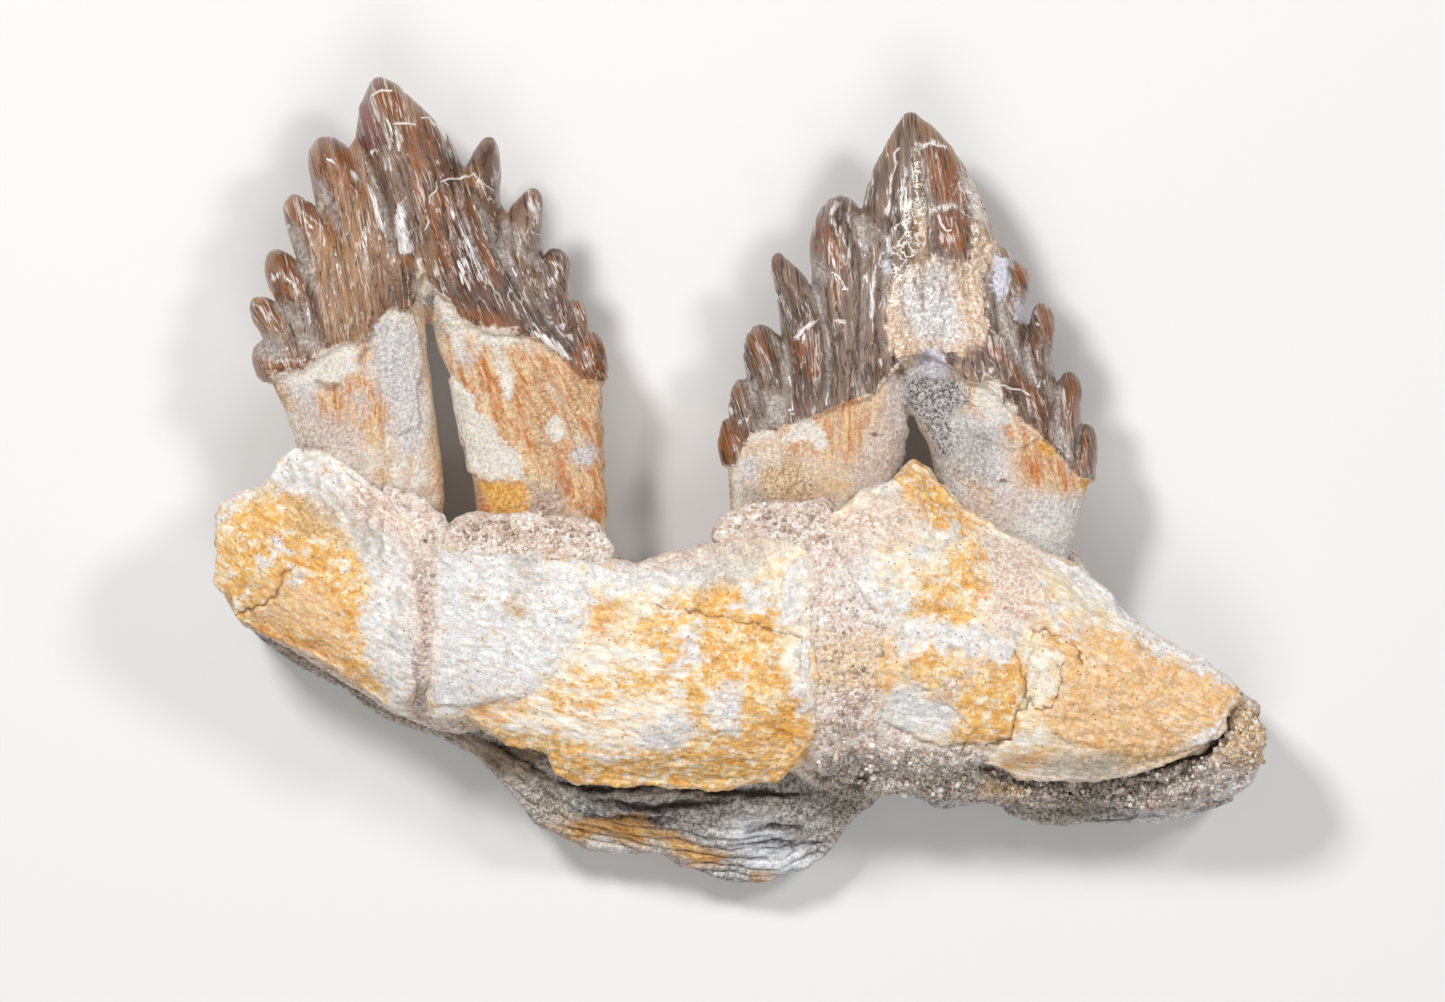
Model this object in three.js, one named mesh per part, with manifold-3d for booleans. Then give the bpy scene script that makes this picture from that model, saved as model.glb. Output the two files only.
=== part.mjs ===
// A piece of fossil whale jaw lying on its inner side, with two serrated cheek teeth still in their sockets.
// Millimetres. +X runs along the jaw, the teeth point to +Y, and +Z is the outer side, which faces up.
import * as THREE from 'three';
import { mergeVertices } from 'three/addons/utils/BufferGeometryUtils.js';
import Module from 'manifold-3d';

const wasm = await Module();
wasm.setup();

// Driving dimensions

const gap = 0.3; // clearance between pieces that touch
const innerTop = 13; // the buried face of the inner bone wall
const innerSkyline = 26; // higher than any ledge of the inner wall
const outerBottom = 30; // the buried face of the outer bone wall
const skyline = 50; // higher than any piece
const toothMiddle = 22.5; // height of the plane that the cusps stand in
const raggedness = 0.9; // how far broken sides wander from their outline
const boneRim = { width: 7, drop: 3.2 }; // the rounded border of an outer bone
const stoneRim = { width: 9, drop: 4 }; // and of the stone
const backRim = { width: 14, drop: 5 }; // and of the back of the jaw
const trench = 5; // width of the dark groove between the stone and the ledge
const jawField = { width: 236, breadth: 106, middleY: -40 }; // the field that holds all the bone relief
const outerCell = 6.5; // spacing of the relief points on the outer bone
const buriedCell = 9; // and on the stone and the inner bone
const crownSection = { sides: 18, rings: 12, level: true }; // how the columns of a tooth are divided
const rootSection = { sides: 12, rings: 9, pinch: -0.25, level: true };

// Outlines, seen from the outer side

const leftBoneOutline = [
  [-113, -4], [-106.7, -1.6], [-103.3, 0], [-99.2, 5.1], [-97.3, 7.6], [-91, 6.5], [-85, 2.5], [-79, -2.5],
  [-74.5, -8], [-70.3, -12.5], [-71, -20], [-69.8, -30], [-70.6, -40], [-72.3, -50], [-75.3, -49.3], [-81.3, -45.6],
  [-87.2, -41.9], [-92.5, -38.9], [-97.7, -35.5], [-105.9, -31.4], [-110, -29.8], [-111.7, -26], [-114.1, -22.8],
  [-114.9, -18.5], [-114, -11.3],
];
const middleBoneOutline = [
  [-66, -13.5], [-60, -15.5], [-50, -16.5], [-39, -16], [-28.3, -17.6], [-22.3, -18.1], [-14.9, -15.7], [-3.7, -13.5],
  [3, -12.3], [10, -12.4], [14, -13.5], [16.5, -18], [15.8, -30], [17, -42], [16, -52], [15, -59], [9, -64.5],
  [0, -67.1], [-8.9, -66.5], [-20, -65.8], [-36.5, -66.1], [-39.5, -64.3], [-42.1, -59.8], [-49.9, -56.8],
  [-60.4, -51.9], [-66.5, -50.6], [-66.3, -40], [-65.5, -30], [-66.5, -20],
];
const rightBoneOutline = [
  [20, -8], [25.6, -3.5], [31.1, -0.7], [35.7, 2.4], [38.4, 4.9], [41.9, 3.2], [43.4, 0.4], [50.4, -5.8],
  [57, -10.5], [66, -14.5], [73.4, -17.5], [82, -25], [84, -29], [90.1, -32.6], [101, -38.5], [108, -42.8],
  [111.1, -47.2], [108, -50.2], [104.9, -55.6], [101, -59.5], [91.7, -61.8], [85.4, -64.6], [77.7, -65.6],
  [68.3, -65.7], [60.6, -64.9], [54.3, -61.8], [50.5, -56], [44, -57], [36, -54.5], [31, -50], [30.5, -40],
  [31.5, -30], [27, -22], [21.5, -15],
];
const innerBoneOutline = [
  [-108.9, -31.8], [-100.7, -37], [-90.2, -43.4], [-80.5, -49.7], [-69.3, -55.3], [-57.4, -60.9], [-52.9, -64.3],
  [-51.1, -68.4], [-44, -74], [-36.5, -79.2], [-32, -80.8], [-23.8, -82.3], [-17.1, -82], [-11.1, -84.8],
  [-3.7, -88.1], [0, -88.6], [4.6, -88.3], [10, -87.1], [15.5, -84.8], [20.1, -82.1], [23.2, -77.4], [26.3, -73.5],
  [30.2, -70], [34.1, -68.7], [43.4, -70.4], [55.9, -71.9], [68.3, -75.1], [85.4, -74.7], [100.2, -74.7],
  [108, -71.2], [112, -66], [112.5, -58], [108, -48], [100, -42], [84, -33], [77, -25], [66, -18], [52, -12],
  [40, -7], [28, -8], [18, -13], [4, -16], [-15, -20], [-28, -22], [-45, -21], [-58, -19], [-66, -17], [-74, -12],
  [-82, -6], [-90, 1], [-96, 2], [-102, -3], [-108, -8], [-111, -16], [-111, -25],
];
const matrixOutline = [
  [-112, -5.5], [-105.5, -3], [-101.5, 1], [-97.5, 8.8], [-90, 9.5], [-80, 5], [-72, -2], [-66.2, -11], [-61.3, -13],
  [-60.4, -8.4], [-57, -7], [-50, -6.5], [-40, -7], [-32, -10], [-28, -16.4], [-24, -18.8], [-14.9, -16.8],
  [-6, -14.6], [-1.5, -9], [3, -5.5], [12, -5], [22, -4.5], [30, -3], [38, 1], [46, -3], [56, -5], [66, -8],
  [73.8, -14], [80, -25], [84, -31], [92, -35], [101, -40], [108, -43.5], [112.5, -48], [114.8, -55], [115, -60.3],
  [114, -65.5], [109, -69.5], [100, -71.5], [85, -71.5], [68, -71], [56, -70], [43, -69], [34, -67.5], [26, -68],
  [17, -67], [8, -62.5], [-8, -62.5], [-24, -62], [-36, -63], [-41, -62], [-46, -60.5], [-56, -58.5], [-66, -55],
  [-76, -50.5], [-88, -43.5], [-99, -37], [-109, -31], [-111.5, -26], [-113.4, -20], [-113, -11],
];

// Enamel ends on these lines, above the roots

const leftEnamelLine = [
  [-107, 21.5], [-103, 22.2], [-95.3, 24.5], [-91.8, 26.9], [-88.3, 29.4], [-84.2, 30.1], [-80.7, 32.1],
  [-77.1, 37.2], [-72.4, 38], [-69.9, 40.3], [-66.6, 42], [-63.1, 39.4], [-59.5, 35.1], [-55.4, 33], [-44.9, 32.1],
  [-41.9, 29.8], [-37.8, 26.3], [-34.3, 22.6], [-27, 21.8],
];
const rightEnamelLine = [
  [-6, 3.4], [-0.5, 4], [2.4, 10.8], [8.6, 11.8], [13.8, 13.8], [20.1, 16.4], [29.3, 19.8], [32.1, 23.3],
  [37, 26.6], [45, 26.2], [49.9, 22.1], [55.7, 21.2], [58.6, 16.4], [63.7, 13], [68.9, 7.8], [74.2, 0.5], [81, -0.5],
];

// Tooth columns. Each station is x, y, half width in the plane of the cusps and half depth across it,
// from the buried end to the tip.

const leftCrown = [
  [-67.5, 18, 35, 7.4], [-67.6, 26, 35.8, 8.8], [-68, 34, 34.2, 9.4], [-69.8, 44, 28.8, 9.2], [-71, 54, 24, 8.6],
  [-72.3, 62, 19.6, 8], [-74.1, 70, 13.2, 7.2], [-74.2, 74, 11, 6.4], [-75.2, 79, 8.3, 5.2], [-76.4, 83, 6.2, 4],
  [-77.8, 86.2, 3.9, 2.6], [-78.9, 88.5, 0.7, 0.4],
];
const leftCusps = [
  [[-68.6, 36, 6.5, 9.9], [-69.6, 47, 5.6, 10], [-72, 58, 4.8, 9.6], [-74.6, 68, 4.2, 8.5], [-76.6, 77, 3.2, 6.7],
    [-78.2, 84, 2, 3.9], [-78.9, 88.3, 0.4, 0.5]],
  [[-83, 27, 4.6, 8.6], [-83.5, 38, 5.4, 9.2], [-84.5, 48, 6, 8.6], [-86, 58, 6, 7.2], [-88.5, 66, 5.3, 5.4],
    [-90.3, 72, 3.7, 3.2], [-91.6, 75.2, 0.8, 0.6]],
  [[-90, 25, 4, 6.6], [-90.5, 36, 4.6, 7.4], [-91.8, 43, 4.7, 6.8], [-93, 50, 4.5, 5.4], [-95.6, 56, 3.6, 4.2],
    [-97.1, 60, 2.3, 2.4], [-98, 62.5, 0.5, 0.4]],
  [[-96, 23, 3.6, 5.4], [-96.6, 32, 3.8, 6], [-97.8, 39, 3.7, 5], [-99.8, 44, 3.2, 3.8], [-101.3, 48, 2.1, 2.2],
    [-102.1, 50.3, 0.5, 0.4]],
  [[-99.6, 24, 2.8, 4.4], [-100.8, 29.6, 3, 4.6], [-103, 33.6, 2.6, 3.6], [-105.3, 37.2, 1.8, 2.1],
    [-106.8, 39.8, 0.4, 0.4]],
  [[-39, 27, 4.2, 6.4], [-47, 38, 4.6, 7.7], [-52.5, 46, 5, 7.8], [-56.3, 54, 5, 7.4], [-57.6, 62, 4.7, 5.8],
    [-56.5, 68.5, 3.5, 3.6], [-55.4, 72.6, 1.9, 1.9], [-54.5, 75, 0.3, 0.3]],
  [[-36, 24, 3.6, 5.6], [-41.5, 36.5, 4, 6.1], [-46, 44, 4.2, 5.8], [-48, 51, 3.9, 5], [-47.4, 56.5, 3.5, 3.8],
    [-46.5, 61, 2.4, 2.2], [-45.6, 63.7, 0.4, 0.3]],
  [[-34, 22, 3, 5.2], [-37.6, 31, 3.3, 5.3], [-39.9, 37.5, 3.4, 4.9], [-40.7, 43.5, 3.2, 3.6], [-40.4, 48, 2.3, 2.2],
    [-40, 50.3, 0.5, 0.4]],
  [[-34, 26, 2.4, 4], [-35.6, 33, 2.4, 3.6], [-35.8, 37, 1.7, 2], [-35, 39.3, 0.4, 0.4]],
  [[-31.8, 21.5, 1.6, 5], [-32, 25, 2.8, 6.4], [-32.2, 29, 2.7, 5], [-31.6, 32.3, 0.6, 0.8]],
  [[-90, 27.5, 1, 8.2], [-95, 26.6, 2, 8.4], [-100.5, 25.8, 2.4, 7], [-104, 26.6, 2.2, 4.6], [-106.2, 28.2, 0.5, 1]],
];
const leftRoots = [
  [[-77, 46, 8, 5], [-83, 38, 13.5, 7.8], [-86, 30, 17.1, 8.4], [-85.2, 22, 17.6, 8.6], [-82.5, 13, 16.4, 8.8],
    [-81.5, 6, 16.1, 8.8], [-80.8, -2, 16, 8.4], [-80.2, -11, 14.6, 7.6], [-79.4, -20, 10.4, 6.2], [-79, -27, 4, 3]],
  [[-57, 46, 6, 5], [-52, 38, 13, 7.8], [-48, 29, 17.4, 8.4], [-46.5, 22, 16.8, 8.6], [-45.8, 15, 16, 8.6],
    [-45, 8, 15.5, 8.8], [-43.8, 0, 14.8, 8.6], [-43.2, -8, 14.5, 8], [-43, -16, 13, 7], [-43, -24, 8.4, 5.4],
    [-43, -29, 3, 2.6]],
];
const rightCrown = [
  [37.5, -5, 38, 7.4], [37.6, 4, 39, 8.8], [37.2, 13, 36.8, 9.4], [37.2, 22, 33, 9.4], [38.6, 30.5, 28, 9.2],
  [38.2, 37, 24.6, 9], [38.6, 44, 21, 8.8], [40, 52, 17.2, 8.4], [41, 58, 13.6, 7.6], [40.4, 62, 12.2, 7],
  [39.6, 67, 9.8, 5.8], [39.2, 71, 7.6, 4.8], [38.8, 75, 5.2, 3.4], [38.2, 78.4, 2.4, 1.8], [37.8, 80.5, 0.4, 0.3],
];
const rightCusps = [
  [[37, 26, 7, 9.9], [38, 38, 6.5, 10], [39.4, 50, 5.4, 9.6], [40.4, 60, 4.6, 8.4], [40, 68, 3.6, 6.4],
    [38.9, 75, 2.2, 4], [37.9, 80.2, 0.4, 0.5]],
  [[22, 12, 5, 7.6], [22.6, 24, 5.6, 8.6], [23, 34, 5.9, 8.6], [22.6, 43, 6.1, 7.8], [22, 50, 5.8, 6.2],
    [21.8, 56, 4.9, 4.6], [21.6, 59.6, 2.8, 2.6], [21.4, 62, 0.6, 0.5]],
  [[14.5, 10, 3.9, 5.8], [15, 21, 4.4, 7.2], [15.4, 30, 4.4, 6.6], [14, 36.4, 3.9, 5], [12, 42, 3.2, 3.6],
    [9.8, 47, 1.9, 1.9], [8.4, 49.6, 0.3, 0.3]],
  [[8, 8, 3.4, 5.2], [8, 16, 4.1, 5.8], [7.2, 22, 4.3, 5], [6, 27, 3.9, 4], [4.8, 31.4, 2.6, 2.4], [3.5, 33.7, 0.5, 0.4]],
  [[3, 9, 2.9, 4.4], [2.6, 13.6, 3.1, 4.2], [1.6, 17, 2.8, 3.2], [1, 19.8, 1.8, 1.9], [0.3, 21.6, 0.4, 0.4]],
  [[0, 3.6, 2, 5.4], [-0.3, 7, 3.1, 6.2], [-0.6, 10, 2.8, 4.8], [-2.4, 13.1, 0.6, 0.8]],
  [[69, 6, 3.6, 5.6], [64, 17, 4, 7], [60.6, 28, 4, 7], [59, 36, 4, 6], [59.6, 42, 3.4, 4], [60.2, 45.6, 2.6, 2.4],
    [60.4, 47.4, 1.2, 0.8]],
  [[72.6, 2, 3, 4.8], [69.4, 13, 3.4, 5.4], [66.6, 23, 3.3, 4.8], [65.6, 31, 3, 3.8], [66.3, 36.4, 2.2, 2.2],
    [66.5, 38.8, 0.5, 0.4]],
  [[75.4, 0.5, 2.2, 4], [73.4, 8, 2.6, 4.4], [72.2, 15.6, 2.5, 3.4], [72.8, 20.8, 1.9, 2.1], [73.3, 23.6, 0.4, 0.4]],
  [[75.6, -2.5, 1.2, 4.4], [75.7, 2, 2.2, 5.4], [76.1, 7, 1.9, 4], [77, 11.3, 0.4, 0.6]],
];
const rightRoots = [
  [[27, 30, 8, 5], [22, 22, 13.4, 7.8], [18.4, 14, 19, 8.4], [16.8, 6, 19.3, 8.6], [16.4, -2, 18.4, 8.8],
    [16, -10, 17.3, 8.4], [16, -18, 14, 7.2], [16, -26, 9, 5.6], [16, -32, 3, 2.6]],
  [[49, 30, 6, 5], [53, 21, 11, 7.8], [56.6, 12, 15.4, 8.4], [59.8, 3, 17, 8.6], [60, -3, 16.8, 8.8],
    [59.6, -9, 15.3, 8.4], [59.4, -16, 13.9, 7.4], [59.4, -25, 10, 6], [59.4, -33, 3, 2.6]],
];
const archFill = [[42.4, 15, 5.4, 6], [42.6, 20, 7, 7], [42.8, 27, 8, 7], [43, 34, 4, 6]];

// The outer face of the jaw bulges between its two long edges. Each station is x, the y of the bulge's
// crest, its half breadth, the height of the crest and the height at the edges.

const outerBulge = [
  [-120, -15, 18, 39, 33], [-90, -19, 26, 44, 35], [-68, -31, 24, 44, 35], [-40, -39, 28, 46, 35],
  [0, -40, 30, 47, 35], [35, -26, 34, 47, 36], [60, -38, 30, 45.5, 34], [85, -47, 24, 42, 33], [120, -57, 16, 37, 30],
];
const outerLumps = [
  [-101, -14, 14, 2.4], [-78, -26, 10, -1.8], [-92, -34, 9, 1.4], [-56, -24, 13, 1.8], [-48, -44, 14, -1.6],
  [-24, -30, 14, 1.6], [-12, -52, 13, 1.8], [4, -24, 8, -1.6], [10, -44, 9, 1.4], [34, -8, 12, 2.4],
  [48, -22, 10, -1.8], [42, -42, 12, 1.8], [64, -46, 6, -2.6], [76, -40, 12, 2], [92, -54, 10, -1.2], [70, -24, 9, 1.6],
];
const ledgeBulge = [
  [-120, -30, 16, 16, 12], [-70, -52, 12, 18, 13], [-45, -64, 14, 22, 13], [-20, -66, 18, 23, 11], [5, -66, 24, 23, 9],
  [28, -62, 14, 22, 13], [60, -62, 13, 22, 15], [120, -62, 15, 21, 14],
];
const ledgeLumps = [
  [-38, -74, 6, 2.2], [-16, -76, 7, -2.4], [6, -80, 8, 2.6], [20, -76, 6, -1.8], [-60, -57, 8, 1.4], [84, -73, 9, 1.6],
];
const matrixBulge = [
  [-120, -15, 22, 38, 25], [-68, -25, 30, 42, 26], [-44, -20, 24, 38, 24], [0, -30, 34, 42, 25], [24, -32, 36, 45, 27],
  [56, -38, 36, 41, 25], [90, -52, 24, 38, 22], [120, -58, 18, 35, 20],
];
const matrixLumps = [
  [-46, -11, 9, 4], [-92, 6, 9, 3], [24, -20, 8, -1.6], [22, -48, 9, 1.8], [40, -63, 8, 2.6], [76, -68, 8, -2.2],
  [108, -58, 8, 2.4], [64, -10, 8, 2.6], [-70, -36, 5, 1.2], [8, -9, 8, 2.6],
];

// Helpers for making solids

function solidOf(geometry) {
  const bare = geometry.clone();
  bare.deleteAttribute('normal');
  bare.deleteAttribute('uv');
  const merged = mergeVertices(bare, 1e-4);
  const mesh = new wasm.Mesh({
    numProp: 3,
    vertProperties: new Float32Array(merged.attributes.position.array),
    triVerts: new Uint32Array(merged.index.array),
  });
  return new wasm.Manifold(mesh);
}

function piece(name, solid, colour, roughness) {
  const mesh = solid.getMesh();
  const geometry = new THREE.BufferGeometry();
  geometry.setAttribute('position', new THREE.BufferAttribute(mesh.vertProperties, 3));
  geometry.setIndex(new THREE.BufferAttribute(mesh.triVerts, 1));
  const faceted = geometry.toNonIndexed();
  faceted.computeVertexNormals();
  const material = new THREE.MeshStandardMaterial({ color: colour, roughness, metalness: 0 });
  const result = new THREE.Mesh(faceted, material);
  result.name = name;
  return result;
}

function smoothCurve(points) {
  return new THREE.CatmullRomCurve3(points, false, 'catmullrom', 0.5);
}

// A column of rings along its stations: a sphere whose rings are moved to where the column runs.
// Level rings stay across the tooth, the others stand square to the column. A pinch draws the section
// to an edge on both sides, and a negative one makes it boxy.
function column(stations, { sides = 8, rings = 6, pinch = 0.2, level = false, grow = 0 }) {
  const spine = smoothCurve(stations.map(([x, y]) => new THREE.Vector3(x, y, 0)));
  const girth = smoothCurve(stations.map(([, , width, depth]) => new THREE.Vector3(width, depth, 0)));
  const geometry = new THREE.SphereGeometry(1, sides, rings);
  const position = geometry.attributes.position;
  const perRow = sides + 1;
  const upward = Math.sign(stations.at(-1)[1] - stations[0][1]);
  for (let i = 0; i < position.count; i += 1) {
    const row = Math.floor(i / perRow);
    const turn = ((i % perRow) % sides) / sides * Math.PI * 2;
    const along = 1 - row / rings;
    const centre = spine.getPoint(along);
    const size = girth.getPoint(along);
    const tangent = level ? new THREE.Vector3(0, upward, 0) : spine.getTangent(along);
    const isEnd = row === 0 || row === rings;
    const width = isEnd ? 0 : size.x + grow;
    const depth = isEnd ? 0 : size.y + grow;
    const across = -Math.cos(turn) * width;
    const lift = Math.sign(Math.sin(turn)) * Math.abs(Math.sin(turn)) ** (1 + pinch) * depth;
    position.setXYZ(i, centre.x + tangent.y * across, centre.y - tangent.x * across, toothMiddle + lift);
  }
  return solidOf(geometry);
}

function prism(outline, bottom, top, steps = 1, roughness = 0) {
  const shape = new THREE.Shape(outline.map(([x, y]) => new THREE.Vector2(x, y)));
  const geometry = new THREE.ExtrudeGeometry(shape, { depth: top - bottom, steps, bevelEnabled: false });
  geometry.translate(0, 0, bottom);
  const position = geometry.attributes.position;
  for (let i = 0; i < position.count; i += 1) {
    const x = position.getX(i);
    const y = position.getY(i);
    const z = position.getZ(i);
    if (z > bottom + 0.01 && z < top - 0.01) {
      position.setX(i, x + roughness * Math.sin(0.9 * x + 1.3 * y + 0.8 * z));
      position.setY(i, y + roughness * Math.sin(1.1 * x - 0.7 * y + 1.7 * z));
    }
  }
  return solidOf(geometry);
}

// The outline moved outward, for the clearance round a piece.
function grown(outline, distance) {
  const points = outline.map(([x, y]) => new THREE.Vector2(x, y));
  const turn = THREE.ShapeUtils.isClockWise(points) ? -1 : 1;
  return points.map((point, i) => {
    const before = points[(i + points.length - 1) % points.length];
    const after = points[(i + 1) % points.length];
    const a = point.clone().sub(before).normalize();
    const b = after.clone().sub(point).normalize();
    const outward = new THREE.Vector2(a.y + b.y, -a.x - b.x).normalize().multiplyScalar(turn);
    const squareness = Math.max(0.5, Math.abs(outward.x * a.y - outward.y * a.x));
    return [point.x + outward.x * distance / squareness, point.y + outward.y * distance / squareness];
  });
}

// Distance from a point to the outline, negative outside it.
function insideBy(outline, x, y) {
  let nearest = Infinity;
  let inside = false;
  outline.forEach(([x1, y1], i) => {
    const [x2, y2] = outline[(i + 1) % outline.length];
    const length = (x2 - x1) ** 2 + (y2 - y1) ** 2;
    const share = THREE.MathUtils.clamp(((x - x1) * (x2 - x1) + (y - y1) * (y2 - y1)) / length, 0, 1);
    nearest = Math.min(nearest, Math.hypot(x - x1 - share * (x2 - x1), y - y1 - share * (y2 - y1)));
    if (y1 > y !== y2 > y && x < (x2 - x1) * (y - y1) / (y2 - y1) + x1) {
      inside = !inside;
    }
  });
  return inside ? nearest : -nearest;
}

// Height of a bulged face with its lumps and pits at a point.
function bulgedHeight(bulge, lumps, x, y) {
  const next = bulge.findIndex(([stationX]) => stationX > x);
  const from = bulge[Math.max(0, next - 1)];
  const to = bulge[next];
  const share = (x - from[0]) / (to[0] - from[0]);
  const [, crestY, breadth, crest, edge] = from.map((value, i) => THREE.MathUtils.lerp(value, to[i], share));
  const off = Math.min(1.3, Math.abs(y - crestY) / breadth);
  let height = crest - (crest - edge) * off ** 2.2;
  lumps.forEach(([lumpX, lumpY, radius, rise]) => {
    height += rise * Math.exp(-((x - lumpX) ** 2 + (y - lumpY) ** 2) / (0.5 * radius ** 2));
  });
  return height + 0.5 * Math.sin(0.55 * x + 1.9 * y) + 0.4 * Math.sin(1.4 * x - 0.8 * y);
}

// How far a surface has dropped near the border of its outline.
function rimDrop(outline, rim, x, y) {
  const nearness = Math.max(0, 1 - insideBy(outline, x, y) / rim.width);
  return rim.drop * Math.min(nearness, 1.4) ** 2;
}

// A slab over the whole jaw whose top and bottom follow the two given height functions.
function slab(topAt, bottomAt, cell) {
  const columns = Math.round(jawField.width / cell);
  const rows = Math.round(jawField.breadth / cell);
  const geometry = new THREE.BoxGeometry(jawField.width, jawField.breadth, 2, columns, rows, 1);
  geometry.translate(0, jawField.middleY, 0);
  const position = geometry.attributes.position;
  for (let i = 0; i < position.count; i += 1) {
    const x = position.getX(i);
    const y = position.getY(i);
    position.setZ(i, position.getZ(i) > 0 ? topAt(x, y) : bottomAt(x, y));
  }
  return solidOf(geometry);
}

// Teeth

function tooth(crown, cusps, roots, enamelLine, extra = []) {
  const floor = enamelLine[0][1] - 60;
  const belowEnamel = [...enamelLine, [enamelLine.at(-1)[0], floor], [enamelLine[0][0], floor]];
  let enamel = column(crown, crownSection);
  cusps.forEach((cusp) => {
    enamel = enamel.add(column(cusp, {}));
  });
  enamel = enamel.subtract(prism(belowEnamel, 0, skyline));
  roots.concat(extra).forEach((root) => {
    enamel = enamel.add(column(root, rootSection));
  });
  return enamel;
}

function sockets(roots) {
  const holes = roots.map((root) => column(root, { ...rootSection, grow: gap + 0.1 }));
  return holes[0].add(holes[1]);
}

const leftSockets = sockets(leftRoots);
const rightSockets = sockets(rightRoots);

// Bone walls and the stone between them

function outerBone(outline) {
  const top = (x, y) => bulgedHeight(outerBulge, outerLumps, x, y) - rimDrop(outline, boneRim, x, y);
  const wall = prism(outline, outerBottom, skyline, 3, raggedness);
  return wall.intersect(slab(top, () => innerTop, outerCell)).subtract(leftSockets).subtract(rightSockets);
}

function ledgeHeight(x, y) {
  const buried = THREE.MathUtils.smoothstep(insideBy(matrixOutline, x, y), -trench, 0);
  return THREE.MathUtils.lerp(bulgedHeight(ledgeBulge, ledgeLumps, x, y), innerTop, buried);
}

function innerBone() {
  const bottom = (x, y) => rimDrop(innerBoneOutline, backRim, x, y);
  return prism(innerBoneOutline, -1, innerSkyline, 2, raggedness).intersect(slab(ledgeHeight, bottom, buriedCell));
}

function stone() {
  const top = (x, y) => bulgedHeight(matrixBulge, matrixLumps, x, y) - rimDrop(matrixOutline, stoneRim, x, y);
  const block = prism(matrixOutline, innerTop + gap, skyline, 2, raggedness);
  let body = block.intersect(slab(top, () => 0, buriedCell));
  [leftBoneOutline, middleBoneOutline, rightBoneOutline].forEach((outline) => {
    body = body.subtract(prism(grown(outline, gap + raggedness), outerBottom - gap, skyline + 1));
  });
  const ledgeRoom = slab((x, y) => ledgeHeight(x, y) + 3 * gap, () => 0, buriedCell);
  const innerRoom = prism(grown(innerBoneOutline, gap + 1.5 * raggedness), -1, innerSkyline + 1).intersect(ledgeRoom);
  return body.subtract(leftSockets).subtract(rightSockets).subtract(innerRoom);
}

const jaw = new THREE.Group();
jaw.add(
  piece('left_tooth', tooth(leftCrown, leftCusps, leftRoots, leftEnamelLine), '#6b4a36', 0.45),
  piece('right_tooth', tooth(rightCrown, rightCusps, rightRoots, rightEnamelLine, [archFill]), '#6b5548', 0.5),
  piece('left_bone', outerBone(leftBoneOutline), '#f2c78a', 0.85),
  piece('middle_bone', outerBone(middleBoneOutline), '#f4d6a6', 0.85),
  piece('right_bone', outerBone(rightBoneOutline), '#e9b777', 0.85),
  piece('inner_bone', innerBone(), '#8b8178', 0.9),
  piece('matrix', stone(), '#bca497', 0.95),
);

// The origin is under the middle of the piece, on the surface that it lies on.

const box = new THREE.Box3().setFromObject(jaw);
const middle = box.getCenter(new THREE.Vector3());
jaw.position.set(-middle.x, -middle.y, -box.min.z);
jaw.updateMatrixWorld(true);

export default jaw;
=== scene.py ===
# %% [markdown]
# A piece of fossil whale jaw with two serrated teeth, dressed in Blender.
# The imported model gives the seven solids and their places: two teeth, three pieces of the outer bone
# wall, the inner bone wall and the sandstone between them. This script gives each one its real surface.
# The plan is the same for all: a fine closed skin, relief moved into it by numbers worked out per
# point, and a node material that mixes its colours by fields which are stored on the same points.

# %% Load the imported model
import bmesh
import bpy
import math
import numpy as np
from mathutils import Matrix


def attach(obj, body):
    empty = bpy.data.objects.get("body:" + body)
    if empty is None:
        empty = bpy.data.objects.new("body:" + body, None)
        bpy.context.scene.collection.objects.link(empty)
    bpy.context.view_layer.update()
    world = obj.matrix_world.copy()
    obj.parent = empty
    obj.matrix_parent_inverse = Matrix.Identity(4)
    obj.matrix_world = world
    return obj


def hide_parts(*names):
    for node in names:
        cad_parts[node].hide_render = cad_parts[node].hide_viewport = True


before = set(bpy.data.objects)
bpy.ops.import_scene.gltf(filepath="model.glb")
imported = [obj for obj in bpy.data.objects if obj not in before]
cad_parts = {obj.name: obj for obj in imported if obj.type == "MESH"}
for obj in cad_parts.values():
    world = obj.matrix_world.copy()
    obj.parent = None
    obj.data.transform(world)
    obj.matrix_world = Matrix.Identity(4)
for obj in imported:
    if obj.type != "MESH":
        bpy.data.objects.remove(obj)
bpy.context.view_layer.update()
print("solids:", sorted(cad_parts))

# %% [markdown]
# All places below are millimetres on a drawing of the jaw's outer side: x along the jaw, y towards
# the tips of the teeth, z up out of the outer side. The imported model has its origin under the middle
# of the box, so one small shift and one scale turn drawing places into scene places. Working in
# millimetres keeps the numbers close to what a ruler would read. Distances beyond FAR are cut off,
# since no stain or crack reaches that far.

# %% Drawing places and scene places
MM = 0.001
FAR = 9.0
DRAWING_SHIFT = np.array([-0.177, -0.007, 0.0])


def to_scene(points):
    return (points + DRAWING_SHIFT) * MM


def to_drawing(points):
    return points / MM - DRAWING_SHIFT


print("the drawing starts at", to_scene(np.zeros(3)).round(4), "m")

# %% [markdown]
# Stone and bone are rough at every size, so the first tool is gradient noise: a random slope at each
# lattice point, blended smoothly between. Blender has this as a texture, but here it has to move
# points, so it is worked out for all points at once with numpy. The seed is fixed, so each run is alike.

# %% Noise for whole arrays of points
TEN_BITS = 1023
NOISE_GAIN = 1.6


def lattice_hash(ix, iy, iz, seed):
    """A scrambled whole number for each lattice corner; any three runs of ten bits are independent."""
    mixed = ix * 374761393 + iy * 668265263 + iz * 1440662683 + seed * 974634777
    mixed = (mixed & 0xFFFFFFFF) ^ ((mixed & 0xFFFFFFFF) >> 13)
    mixed = (mixed * 1274126177) & 0xFFFFFFFF
    return mixed ^ (mixed >> 16)


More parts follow.
